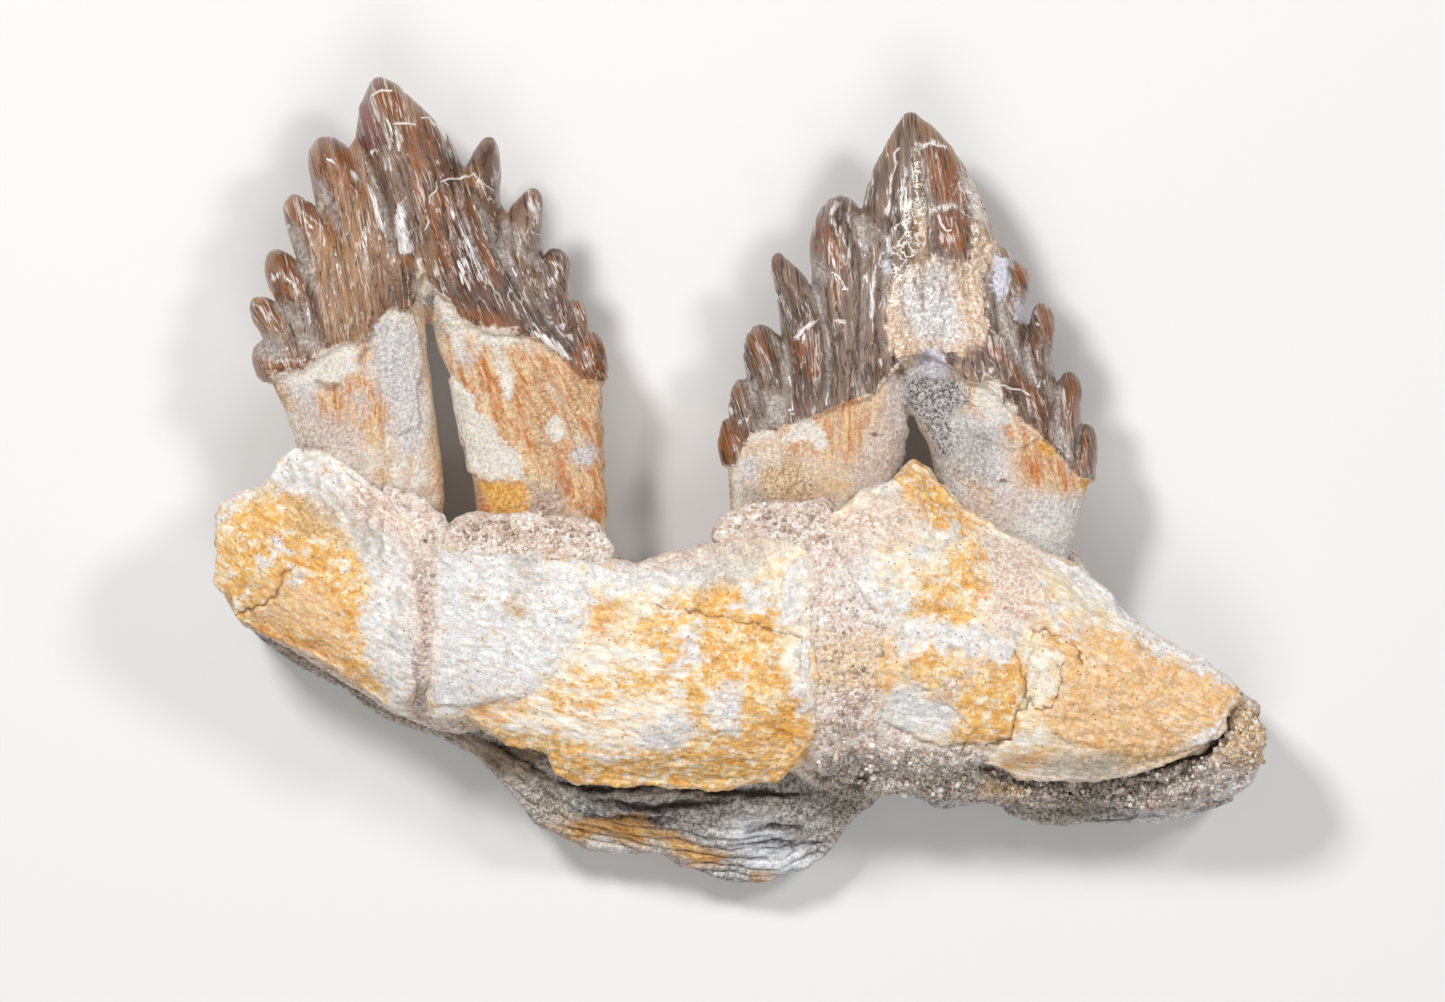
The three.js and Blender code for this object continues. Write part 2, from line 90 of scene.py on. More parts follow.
def noise(points, size, seed=0):
    """Smooth noise from about -1 to 1, with lumps of that size in millimetres."""
    p = points / size
    corner = np.floor(p).astype(np.int64)
    f = p - corner
    fade = f * f * f * (f * (f * 6 - 15) + 10)
    total = np.zeros(len(p))
    for dx, dy, dz in np.ndindex(2, 2, 2):
        h = lattice_hash(corner[:, 0] + dx, corner[:, 1] + dy, corner[:, 2] + dz, seed)
        slope = ((h & TEN_BITS) - TEN_BITS / 2) * (f[:, 0] - dx)
        slope += (((h >> 10) & TEN_BITS) - TEN_BITS / 2) * (f[:, 1] - dy)
        slope += (((h >> 20) & TEN_BITS) - TEN_BITS / 2) * (f[:, 2] - dz)
        weight = np.abs(1 - dx - fade[:, 0]) * np.abs(1 - dy - fade[:, 1]) * np.abs(1 - dz - fade[:, 2])
        total += weight * slope / (TEN_BITS / 2)
    return total * NOISE_GAIN


def roughness(points, size, octaves=3, seed=0):
    """Noise with ever finer noise added to it, half as strong at each step."""
    return sum(noise(points, size / 2**k, seed + 17 * k) / 2**k for k in range(octaves))


print("noise at three places:", noise(5.3 * np.eye(3), 3.0).round(2))

# %% Rounded grains
def grains(points, size, seed=0):
    """Rounded grains packed side by side: 1 on top of a grain, 0 in the joints between them."""
    p = points / size
    corner = np.floor(p).astype(np.int64)
    nearest = np.full(len(p), FAR)
    for dx, dy, dz in np.ndindex(3, 3, 3):
        cell = corner + np.array([dx - 1, dy - 1, dz - 1])
        h = lattice_hash(cell[:, 0], cell[:, 1], cell[:, 2], seed)
        centre = cell + np.stack([h & TEN_BITS, (h >> 10) & TEN_BITS, (h >> 20) & TEN_BITS], axis=1) / TEN_BITS
        nearest = np.minimum(nearest, ((centre - p) ** 2).sum(axis=1))
    return 1 - np.sqrt(nearest).clip(0, 1)


print("grain height at three places:", grains(5.3 * np.eye(3), 3.0).round(2))

# %% [markdown]
# The finish of a fossil changes from patch to patch, and each patch has an edge one can point at. A
# patch is drawn here as a short outline, and a field holds how many millimetres each point lies inside
# it. Stored like that, the material can decide how ragged or soft the edge becomes. Cracks are lines,
# so for them the field is the distance to the line.

# %% Distances to outlines and lines
def line_distance(x, y, line):
    """Distance to an open line, and the share of the way along it."""
    best = np.full(x.shape, 1e9)
    along = np.zeros(x.shape)
    count = len(line) - 1
    for i in range(count):
        (x1, y1), (x2, y2) = line[i], line[i + 1]
        length = (x2 - x1) ** 2 + (y2 - y1) ** 2
        share = (((x - x1) * (x2 - x1) + (y - y1) * (y2 - y1)) / length).clip(0, 1)
        d = np.hypot(x - x1 - share * (x2 - x1), y - y1 - share * (y2 - y1))
        closer = d < best
        best = np.where(closer, d, best)
        along = np.where(closer, (i + share) / count, along)
    return best, along


def inside_by(x, y, outline):
    """Millimetres inside a closed outline, negative outside it."""
    closed = list(outline) + [outline[0]]
    distance, _ = line_distance(x, y, closed)
    inside = np.zeros(x.shape, bool)
    for (x1, y1), (x2, y2) in zip(closed[:-1], closed[1:]):
        if y1 != y2:
            inside ^= ((y1 > y) != (y2 > y)) & (x < (x2 - x1) * (y - y1) / (y2 - y1) + x1)
    return np.where(inside, distance, -distance)


middle_of_square = inside_by(np.full(1, 2.0), np.full(1, 2.0), [(0, 0), (4, 0), (4, 4), (0, 4)])
print("the middle of a square of 4 mm lies", middle_of_square, "mm inside it")

# %% Patches, soft steps and creases
def patches(points, marks, wander=1.2, seed=0):
    """Millimetres inside the nearest mark: a closed outline, or a pair of width and open line for a band.
    A name without marks gets a field too, because a shader reads a missing field as 0."""
    if not marks:
        return np.full(len(points), -FAR)
    x = points[:, 0] + wander * roughness(points, 5, 2, seed)
    y = points[:, 1] + wander * roughness(points, 5, 2, seed + 5)
    depths = []
    for mark in marks:
        if isinstance(mark, tuple):
            distance, along = line_distance(x, y, mark[1])
            depths.append(mark[0] / 2 * (1 - np.abs(2 * along - 1) ** 4) - distance)
        else:
            depths.append(inside_by(x, y, mark))
    return np.max(depths, axis=0).clip(-FAR, FAR)


def mark_fields(points, marks, wander, seed):
    """One field for each name in a set of marks, each with an edge that wanders in its own way."""
    return {name: patches(points, outlines, wander, seed + i) for i, (name, outlines) in enumerate(marks.items())}


def step(values, low, high):
    """0 below low, 1 above high, and a smooth rise between them."""
    t = ((values - low) / (high - low)).clip(0, 1)
    return t * t * (3 - 2 * t)


def creases(points, lines, wander=0.4, seed=0):
    """Height of ridges and troughs, each given as height, half width and line."""
    x = points[:, 0] + wander * noise(points, 3, seed)
    y = points[:, 1] + wander * noise(points, 3, seed + 1)
    total = np.zeros(len(points))
    for height, half_width, line in lines:
        distance, along = line_distance(x, y, line)
        total += height * step(half_width - distance, 0, half_width) * (1 - np.abs(2 * along - 1) ** 6)
    return total


print("half way up a step:", step(np.full(1, 0.5), 0, 1))

# %% [markdown]
# Enamel grooves and bone fibres run along the growth of the piece, and bend with it. A few strokes,
# each a place and the angle of the fibres there, describe that. A low polynomial whose level lines
# follow the strokes is fitted by least squares: its value is a coordinate across the fibres. Noise
# that is fine across and long along it then gives fibres that flow the right way everywhere.

# %% A coordinate across the fibres
def across_fibres(strokes, degree=4):
    """A function that turns points into the coordinate across the fibres. Level along each stroke counts
    most, then an even rise across it, and a last small weight keeps the polynomial tame."""
    spots = np.array(strokes, float)
    middle = spots[:, :2].mean(axis=0)
    reach = 40.0
    powers = [(i, j) for i in range(degree + 1) for j in range(degree + 1 - i) if i + j > 0]

    def slopes(x, y):
        u, v = (x - middle[0]) / reach, (y - middle[1]) / reach
        gx = np.stack([i * u ** max(i - 1, 0) * v**j / reach for i, j in powers], axis=-1)
        gy = np.stack([j * u**i * v ** max(j - 1, 0) / reach for i, j in powers], axis=-1)
        return gx, gy

    gx, gy = slopes(spots[:, 0], spots[:, 1])
    turn = np.radians(spots[:, 2])
    along = gx * np.cos(turn)[:, None] + gy * np.sin(turn)[:, None]
    across = gy * np.cos(turn)[:, None] - gx * np.sin(turn)[:, None]
    along_weight, across_weight, calm_weight = 2, 0.5, 0.004
    rows = np.vstack([along_weight * along, across_weight * across, calm_weight * np.eye(len(powers))])
    wanted = np.concatenate([np.zeros(len(spots)), np.full(len(spots), across_weight), np.zeros(len(powers))])
    weights = np.linalg.lstsq(rows, wanted, rcond=None)[0]

    def coordinate(points):
        u, v = (points[:, 0] - middle[0]) / reach, (points[:, 1] - middle[1]) / reach
        return sum(w * u**i * v**j for w, (i, j) in zip(weights, powers))

    return coordinate


def fibre_points(points, coordinate, stretch):
    """Points squeezed along the fibres, so that noise on them turns into fibres."""
    return np.stack([coordinate(points), points[:, 0] / stretch, (points[:, 1] + points[:, 2]) / stretch], axis=1)


level_grain = across_fibres([(x, y, 0) for x in range(5) for y in range(5)])
print("across level fibres, at 0 and 1 mm:", level_grain(np.array([(2.0, 0, 0), (2.0, 1, 0)])).round(2))

# %% [markdown]
# A skin is made by Blender's voxel remesh: it wraps whatever closed forms it is given in one even
# closed net of squares. That joins columns that run into each other, as the cusps of a tooth do, and
# it gives enough points to carry fine relief. The square size is chosen so that a piece of the jaw has
# less than 200,000 triangles and a tooth, which has the finest relief, about 250,000. Smoothing by
# averaging neighbours then takes the steps and facets away.

# %% Skins: remesh, smooth, normals
def remeshed(name, points, faces, voxel):
    mesh = bpy.data.meshes.new(name)
    mesh.from_pydata(points.tolist(), [], faces)
    carrier = bpy.data.objects.new(name, mesh)
    bpy.context.scene.collection.objects.link(carrier)
    skin = carrier.modifiers.new("skin", "REMESH")
    skin.mode = "VOXEL"
    skin.voxel_size = voxel
    evaluated = carrier.evaluated_get(bpy.context.evaluated_depsgraph_get())
    result = evaluated.to_mesh()
    found = np.empty(len(result.vertices) * 3)
    result.vertices.foreach_get("co", found)
    corners = np.empty(len(result.loops), np.int32)
    result.loops.foreach_get("vertex_index", corners)
    evaluated.to_mesh_clear()
    bpy.data.objects.remove(carrier)
    bpy.data.meshes.remove(mesh)
    return found.reshape(-1, 3), corners.reshape(-1, 4)


# %% Neighbours, smoothing and normals
def edges_of(quads):
    """The two ends of every edge, each edge once."""
    pairs = np.vstack([quads[:, [k, (k + 1) % 4]] for k in range(4)])
    pairs.sort(axis=1)
    keys = np.unique(pairs[:, 0].astype(np.int64) * 2**32 + pairs[:, 1])
    return keys >> 32, keys & 0xFFFFFFFF


def neighbour_mean(values, edges, count):
    """The mean of each point's neighbours along the edges, or its own value where it has none."""
    a, b = edges
    total = np.bincount(a, values[b], count) + np.bincount(b, values[a], count)
    found = np.bincount(a, minlength=count) + np.bincount(b, minlength=count)
    return np.where(found > 0, total / found.clip(1), values)


def smoothed(points, quads, rounds, swell=0.53):
    """Averages each point with its neighbours, then pushes back a little so that the form keeps its size."""
    edges = edges_of(quads)
    points = points.copy()
    for k in range(rounds):
        for share in (0.5, -swell):
            mean = np.stack([neighbour_mean(points[:, i], edges, len(points)) for i in range(3)], axis=1)
            points += share * (mean - points)
    return points


def normals_of(points, quads):
    a, b, c, d = (points[quads[:, k]] for k in range(4))
    face = np.cross(c - a, d - b)
    sums = [sum(np.bincount(quads[:, k], face[:, i], len(points)) for k in range(4)) for i in range(3)]
    total = np.stack(sums, axis=1)
    return total / np.linalg.norm(total, axis=1).clip(1e-9)[:, None]


print("edges of one square:", len(edges_of(np.array([[0, 1, 2, 3]]))[0]))

# %% [markdown]
# Each finished skin goes into the scene the same way. It takes the place of its solid in the model and
# it rides with the whole piece. Its fields go on its points, so that stains and cracks are part of the
# surface, whatever the size of its squares.

# %% Put a finished skin in the scene
def finished_piece(name, node, points, faces, fields, material):
    """A named mesh from points and faces, with its fields stored on the points."""
    mesh = bpy.data.meshes.new(name)
    mesh.vertices.add(len(points))
    mesh.vertices.foreach_set("co", to_scene(points).astype(np.float32).ravel())
    mesh.loops.add(faces.size)
    mesh.loops.foreach_set("vertex_index", faces.astype(np.int32).ravel())
    mesh.polygons.add(len(faces))
    mesh.polygons.foreach_set("loop_start", np.arange(0, faces.size, faces.shape[1], dtype=np.int32))
    mesh.update(calc_edges=True)
    mesh.shade_smooth()
    for field, values in fields.items():
        attribute = mesh.attributes.new(field, "FLOAT", "POINT")
        attribute.data.foreach_set("value", np.asarray(values, np.float32))
    mesh.materials.append(material)
    piece = bpy.data.objects.new(name, mesh)
    bpy.context.scene.collection.objects.link(piece)
    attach(piece, "root")
    if node:
        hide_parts(node)
    print(name, len(faces) * (faces.shape[1] - 2), "triangles")


# %% [markdown]
# Colours are written as they would be picked from a screen, in sRGB hex, and one function turns them
# to the linear values that shaders work in. A second function adds a node with its settings and links.

# %% Colours and nodes
def colour(text):
    """Linear red, green, blue and alpha of an sRGB hex text."""
    channels = [int(text[i:i + 2], 16) / 255 for i in (1, 3, 5)]
    return [c / 12.92 if c <= 0.04045 else ((c + 0.055) / 1.055) ** 2.4 for c in channels] + [1.0]


def add_node(tree, kind, links, out=0, **settings):
    """Adds a node with its settings and gives one of its outputs. An input in links follows a socket or
    keeps a value, and a text there is a hex colour."""
    made = tree.nodes.new("ShaderNode" + kind)
    for key, value in settings.items():
        setattr(made, key, value)
    for socket, value in links.items():
        if isinstance(value, bpy.types.NodeSocket):
            tree.links.new(value, made.inputs[socket])
        else:
            made.inputs[socket].default_value = colour(value) if isinstance(value, str) else value
    return made.outputs[out]


def new_material(name):
    material = bpy.data.materials.new(name)
    material.use_nodes = True
    tree = material.node_tree
    return material, tree, tree.nodes["Principled BSDF"]


print("middle grey in linear light:", round(colour("#808080")[0], 3))

# %% [markdown]
# The bone, the roots and the stone all share one way of colouring. A base colour comes first. Then each
# layer comes over it where its stored field is positive: the field gives the patch, and noise eats
# into its edge, as a crust or stain breaks up on real bone. Each layer runs between two colours of its
# own by finer noise, so that no patch is flat.

# %% Coats and mottle
def coated(tree, tint, *coats):
    """Lays coats over a tint, one after the other: each is a share, as a socket, and its colour."""
    for share, over in coats:
        tint = add_node(tree, "Mix", {0: share, 6: tint, 7: over}, 2, data_type="RGBA")
    return tint


def mottle(tree, where, size, shift=0, detail=7, fineness=0.62):
    """Natural mottle about 0.5, with lumps of that many millimetres. Each shift gives another pattern."""
    offset = (7.3 * shift, 3.1 * shift, 5.7 * shift)
    moved = add_node(tree, "VectorMath", {0: where, 1: offset}, operation="ADD")
    links = {"Vector": moved, "Scale": 1 / size, "Detail": detail, "Roughness": fineness}
    return add_node(tree, "TexNoise", links)


def two_toned(tree, value, reach, dark, light):
    """A colour that turns from dark to light as the value crosses 0.5, over a reach on either side."""
    tone = add_node(tree, "MapRange", {0: value, 1: 0.5 - reach, 2: 0.5 + reach})
    return coated(tree, dark, (tone, light))


# %% Hairlines, details inside a patch, shade
def thin_lines(tree, value, width, strength=1.0):
    """Hairlines where a mottle crosses its middle, and 0 beside them."""
    off = add_node(tree, "Math", {0: value, 1: 0.5}, operation="SUBTRACT")
    size = add_node(tree, "Math", {0: off}, operation="ABSOLUTE")
    return add_node(tree, "MapRange", {0: size, 1: 0.35 * width, 2: width, 3: strength, 4: 0.0})


def within(tree, detail, field, low, high, strength=1.0):
    """A detail that comes in only where a stored field rises from low to high."""
    patch = add_node(tree, "Attribute", {}, "Fac", attribute_name=field)
    share = add_node(tree, "MapRange", {0: patch, 1: low, 2: high, 3: 0.0, 4: strength})
    return add_node(tree, "Math", {0: detail, 1: share}, operation="MULTIPLY")


def shaded(tree, under, value, low, high):
    """Lightens and darkens a colour between two factors as the value goes from 0.3 to 0.7."""
    factor = add_node(tree, "MapRange", {0: value, 1: 0.3, 2: 0.7, 3: low, 4: high})
    return add_node(tree, "HueSaturation", {"Value": factor, "Color": under})


# %% Layers
def layered(tree, place, fibre_place, under, layers, reach=0.08):
    """Layers of (field, dark, light, ragged, soft, size, strength). A negative size follows the fibres.
    A larger reach makes the tones inside a layer softer.
    A plain number as the field lets the mottle alone decide where the layer shows, and a pair of field
    and number does so within that field."""
    for number, (field, dark, light, ragged, soft, size, strength) in enumerate(layers):
        where = fibre_place if size < 0 else place
        eaten = mottle(tree, where, abs(size), number + 3, 8, 0.72)
        centred = add_node(tree, "Math", {0: eaten, 1: 0.5}, operation="SUBTRACT")
        level = field
        if isinstance(field, str):
            level = add_node(tree, "Attribute", {}, "Fac", attribute_name=field)
        elif isinstance(field, tuple):
            patch = add_node(tree, "Attribute", {}, "Fac", attribute_name=field[0])
            level = add_node(tree, "Math", {0: patch, 1: field[1]}, operation="MINIMUM")
        edge = add_node(tree, "Math", {0: centred, 1: ragged, 2: level}, operation="MULTIPLY_ADD")
        share = add_node(tree, "MapRange", {0: edge, 1: -soft, 2: soft, 3: 0.0, 4: strength})
        fine = mottle(tree, where, max(0.4 * abs(size), 0.8), number + 20, 5, 0.8)
        under = coated(tree, under, (share, two_toned(tree, fine, reach, dark, light)))
    return under


# %% Specks, places and the last step of a surface
def specks(tree, place, size, radius, share, strength):
    """Small round spots: one in each cell of that size, kept for a share of the cells."""
    near = add_node(tree, "TexVoronoi", {"Vector": place, "Scale": 1 / size}, "Distance")
    pick = add_node(tree, "SeparateColor", {0: near.node.outputs["Color"]})
    kept = add_node(tree, "Math", {0: pick, 1: share}, operation="LESS_THAN")
    inner, outer = 0.5 * radius / size, radius / size
    spot = add_node(tree, "MapRange", {0: near, 1: inner, 2: outer, 3: strength, 4: 0.0})
    return add_node(tree, "Math", {0: spot, 1: kept}, operation="MULTIPLY")


def finish_surface(material, tint, height, depth):
    """Gives a material its colour, and fine relief of that many millimetres from a height of 0 to 1."""
    tree = material.node_tree
    shader = tree.nodes["Principled BSDF"]
    bump = add_node(tree, "Bump", {"Strength": 1.0, "Distance": depth * MM, "Height": height})
    tree.links.new(tint, shader.inputs["Base Color"])
    tree.links.new(bump, shader.inputs["Normal"])
    print(material.name, "has", len(tree.nodes), "nodes")
    return material


def millimetre_place(tree):
    """The place on a piece in millimetres, so that each pattern has its real size."""
    where = add_node(tree, "TexCoord", {}, "Object")
    return add_node(tree, "VectorMath", {0: where, 3: 1 / MM}, operation="SCALE")


def along_fibres(tree, place, stretch):
    """The same place squeezed along the fibres, so that a mottle on it turns into fibres."""
    across = add_node(tree, "Attribute", {}, "Fac", attribute_name="fibre")
    x, y, z = add_node(tree, "SeparateXYZ", {0: place}).node.outputs
    along = add_node(tree, "Math", {0: x, 1: 1 / stretch}, operation="MULTIPLY")
    height = add_node(tree, "Math", {0: y, 1: z}, operation="ADD")
    side = add_node(tree, "Math", {0: height, 1: 1 / stretch}, operation="MULTIPLY")
    return add_node(tree, "CombineXYZ", {0: across, 1: along, 2: side})


# %% [markdown]
# The piece of jaw lies on its inner side, and a camera straight above it sees the outer side, as in the
# usual portrait of such a fossil. A long lens keeps the outlines nearly free of perspective.

# %% Camera
LENS = 200.0
SENSOR_WIDTH = 36
FRAME_WIDTH = 317.9 * MM
FRAME_MIDDLE = np.array([-3.5, -4.1, 0.0])
MIDDLE_HEIGHT = 0.025

camera_data = bpy.data.cameras.new("camera")
camera_data.lens = LENS
camera_data.sensor_width = SENSOR_WIDTH
camera = bpy.data.objects.new("camera", camera_data)
bpy.context.scene.collection.objects.link(camera)
bpy.context.scene.camera = camera
distance = FRAME_WIDTH * LENS / camera_data.sensor_width
camera.location = (*to_scene(FRAME_MIDDLE)[:2], MIDDLE_HEIGHT + distance)
print("camera height", round(camera.location.z, 3), "m")

# %% [markdown]
# The floor is plain, pale and matt like good paper, so that it shows the shadows and takes no colour
# from the fossil. Very faint clouds keep it from looking like an empty page.

# %% Floor
MATT_ROUGHNESS = 0.9

bpy.ops.mesh.primitive_grid_add(x_subdivisions=8, y_subdivisions=8, size=4)
floor = bpy.context.object
floor.name = "floor"
paper, tree, shader = new_material("pale matt paper")
shader.inputs["Roughness"].default_value = MATT_ROUGHNESS
clouds = add_node(tree, "TexNoise", {"Scale": 3.0, "Detail": 3})
tree.links.new(coated(tree, "#E9E8E6", (clouds, "#EFEEEC")), shader.inputs["Base Color"])
floor.data.materials.append(paper)
print("floor:", floor.dimensions.x, "m wide")

# %% [markdown]
# Two soft lamps above the tips of the teeth give the shading and the highlights on the enamel. A wide
# fill from the other side and a weak sky keep the undercut lower edge readable, but still the darkest
# part.

# %% Lamps and sky
SKY_STRENGTH = 0.22


def soft_lamp(name, place, power, size):
    """A square lamp that looks at the middle of the piece."""
    lamp = bpy.data.lights.new(name, "AREA")
    lamp.energy = power
    lamp.size = size
    carrier = bpy.data.objects.new(name, lamp)
    bpy.context.scene.collection.objects.link(carrier)
    carrier.location = place
    carrier.rotation_euler = (-carrier.location).to_track_quat("-Z", "Y").to_euler()


soft_lamp("key", (-0.45, 0.5, 0.9), 7.3, 0.2)
soft_lamp("second", (0.6, 0.35, 0.85), 3.7, 0.2)
soft_lamp("fill", (0.0, -0.6, 1.0), 3.8, 0.6)
world = bpy.data.worlds.new("studio")
bpy.context.scene.world = world
world.use_nodes = True
sky = world.node_tree.nodes["Background"]
sky.inputs["Color"].default_value = colour("#F4F4F6")
sky.inputs["Strength"].default_value = SKY_STRENGTH
bpy.context.scene.view_settings.view_transform = "Standard"
print("lamps:", [lamp.name for lamp in bpy.data.lights])

# %% [markdown]
# Each tooth is built from closed bodies of rings. Two swollen lobes over the roots, and the roots, are
# columns round a curved line: a station is x, y, half width in the plane of the cusps and half depth.
# Each cusp is a leaf, given by its two edges from base to tip, since those edges are what one sees. Real
# enamel grows the same way, as ridges that run from each cusp down into the lobe under it, so the folds
# come by themselves where leaves meet.

# %% Columns and leaves
TOOTH_MIDDLE = 22.5


def smooth_curve(stations, shares):
    """Points on a curve through the stations, at shares of its length from 0 to 1."""
    s = np.array(stations, float)
    s = np.vstack([2 * s[0] - s[1], s, 2 * s[-1] - s[-2]])
    at = shares * (len(stations) - 1)
    i = np.minimum(at.astype(int), len(stations) - 2)
    t = (at - i)[:, None]
    a, b, c, d = s[i], s[i + 1], s[i + 2], s[i + 3]
    return b + 0.5 * t * (c - a + t * (2 * a - 5 * b + 4 * c - d + t * (3 * (b - c) + d - a)))


def closed_tube(rings, ends):
    """A closed body of rings, each an array of places, with a point at either end."""
    count, sides = rings.shape[:2]
    points = np.vstack([rings.reshape(-1, 3), ends])
    faces = []
    for k in range(sides):
        n = (k + 1) % sides
        faces.append((len(points) - 2, n, k))
        faces.append((len(points) - 1, (count - 1) * sides + k, (count - 1) * sides + n))
        starts = [r * sides for r in range(count - 1)]
        faces += [(s + k, s + n, s + sides + n, s + sides + k) for s in starts]
    return points, faces


TURN = np.arange(40) / 40 * 2 * math.pi
SHARES = np.linspace(0, 1, 37)


def column(stations, pinch=0.0):
    """A body of level rings round a curved line. Pinch below 0 makes its rings boxy."""
    line = smooth_curve(stations, SHARES)
    upward = np.sign(stations[-1][1] - stations[0][1])
    lift = np.sign(np.sin(TURN)) * np.abs(np.sin(TURN)) ** (1 + pinch)
    body = line[1:-1, :, None]
    x = body[:, 0] - upward * np.cos(TURN) * body[:, 2]
    rings = np.stack([x, body[:, 1] + 0 * TURN, TOOTH_MIDDLE + lift * body[:, 3]], axis=-1)
    ends = [[*line[0, :2], TOOTH_MIDDLE], [*line[-1, :2], TOOTH_MIDDLE]]
    return closed_tube(rings, ends)


def leaf(left, right, depths):
    """A cusp: its left and right edge from base to tip, and the half depths on the way."""
    a, b = smooth_curve(left, SHARES), smooth_curve(right, SHARES)
    depth = np.interp(SHARES, np.linspace(0, 1, len(depths)), depths)[1:-1, None]
    middle, half = ((a + b) / 2)[1:-1, :, None], ((a - b) / 2)[1:-1, :, None]
    lift = np.sign(np.sin(TURN)) * np.abs(np.sin(TURN)) ** 1.15
    x, y = (middle[:, i] + np.cos(TURN) * half[:, i] for i in (0, 1))
    rings = np.stack([x, y, TOOTH_MIDDLE + lift * depth], axis=-1)
    ends = [[*(a + b)[k] / 2, TOOTH_MIDDLE] for k in (0, -1)]
    return closed_tube(rings, ends)


def joined(forms):
    """Several bodies as one list of points and one of faces."""
    points, faces, count = [], [], 0
    for form_points, form_faces in forms:
        points.append(form_points)
        faces += [tuple(count + i for i in face) for face in form_faces]
        count += len(form_points)
    return np.vstack(points), faces


print("a column or leaf has", len(SHARES) - 2, "rings of", len(TURN), "points")

# %% [markdown]
# The stations and edges below were read off the photo, a fifth of a millimetre to the pixel. The crown
# comes first: its middle and its two lobes. The cusps follow from the tallest one outward, each with
# its left edge, its right edge and its half depths. Roots come last, from the crown down into the jaw.

# %% The left tooth
left_crown = [
    [(-69, 36, 14, 7.6), (-69.8, 44, 23, 8.2), (-71, 54, 22.6, 8.3), (-72.3, 62, 19.2, 7.1), (-74.1, 70, 13.2, 5.8),
     (-74.2, 74, 11, 5), (-75.2, 79, 7, 4), (-76.4, 83, 4, 2.4), (-77.8, 86.2, 1, 0.4)],
    [(-86.4, 16, 16.8, 8.2), (-86.6, 25, 17.7, 9.2), (-86, 34, 16.8, 9.5), (-83.6, 43, 14.6, 9.2), (-80, 53, 12, 8.2),
     (-77, 62, 7, 6.6)],
    [(-47.6, 15, 17.6, 8.2), (-48.6, 25, 18.6, 9.3), (-50.6, 34, 16.6, 9.7), (-54.4, 43, 14.4, 9.4),
     (-59, 52, 11.6, 8.6), (-64, 61, 8, 7.4)],
]
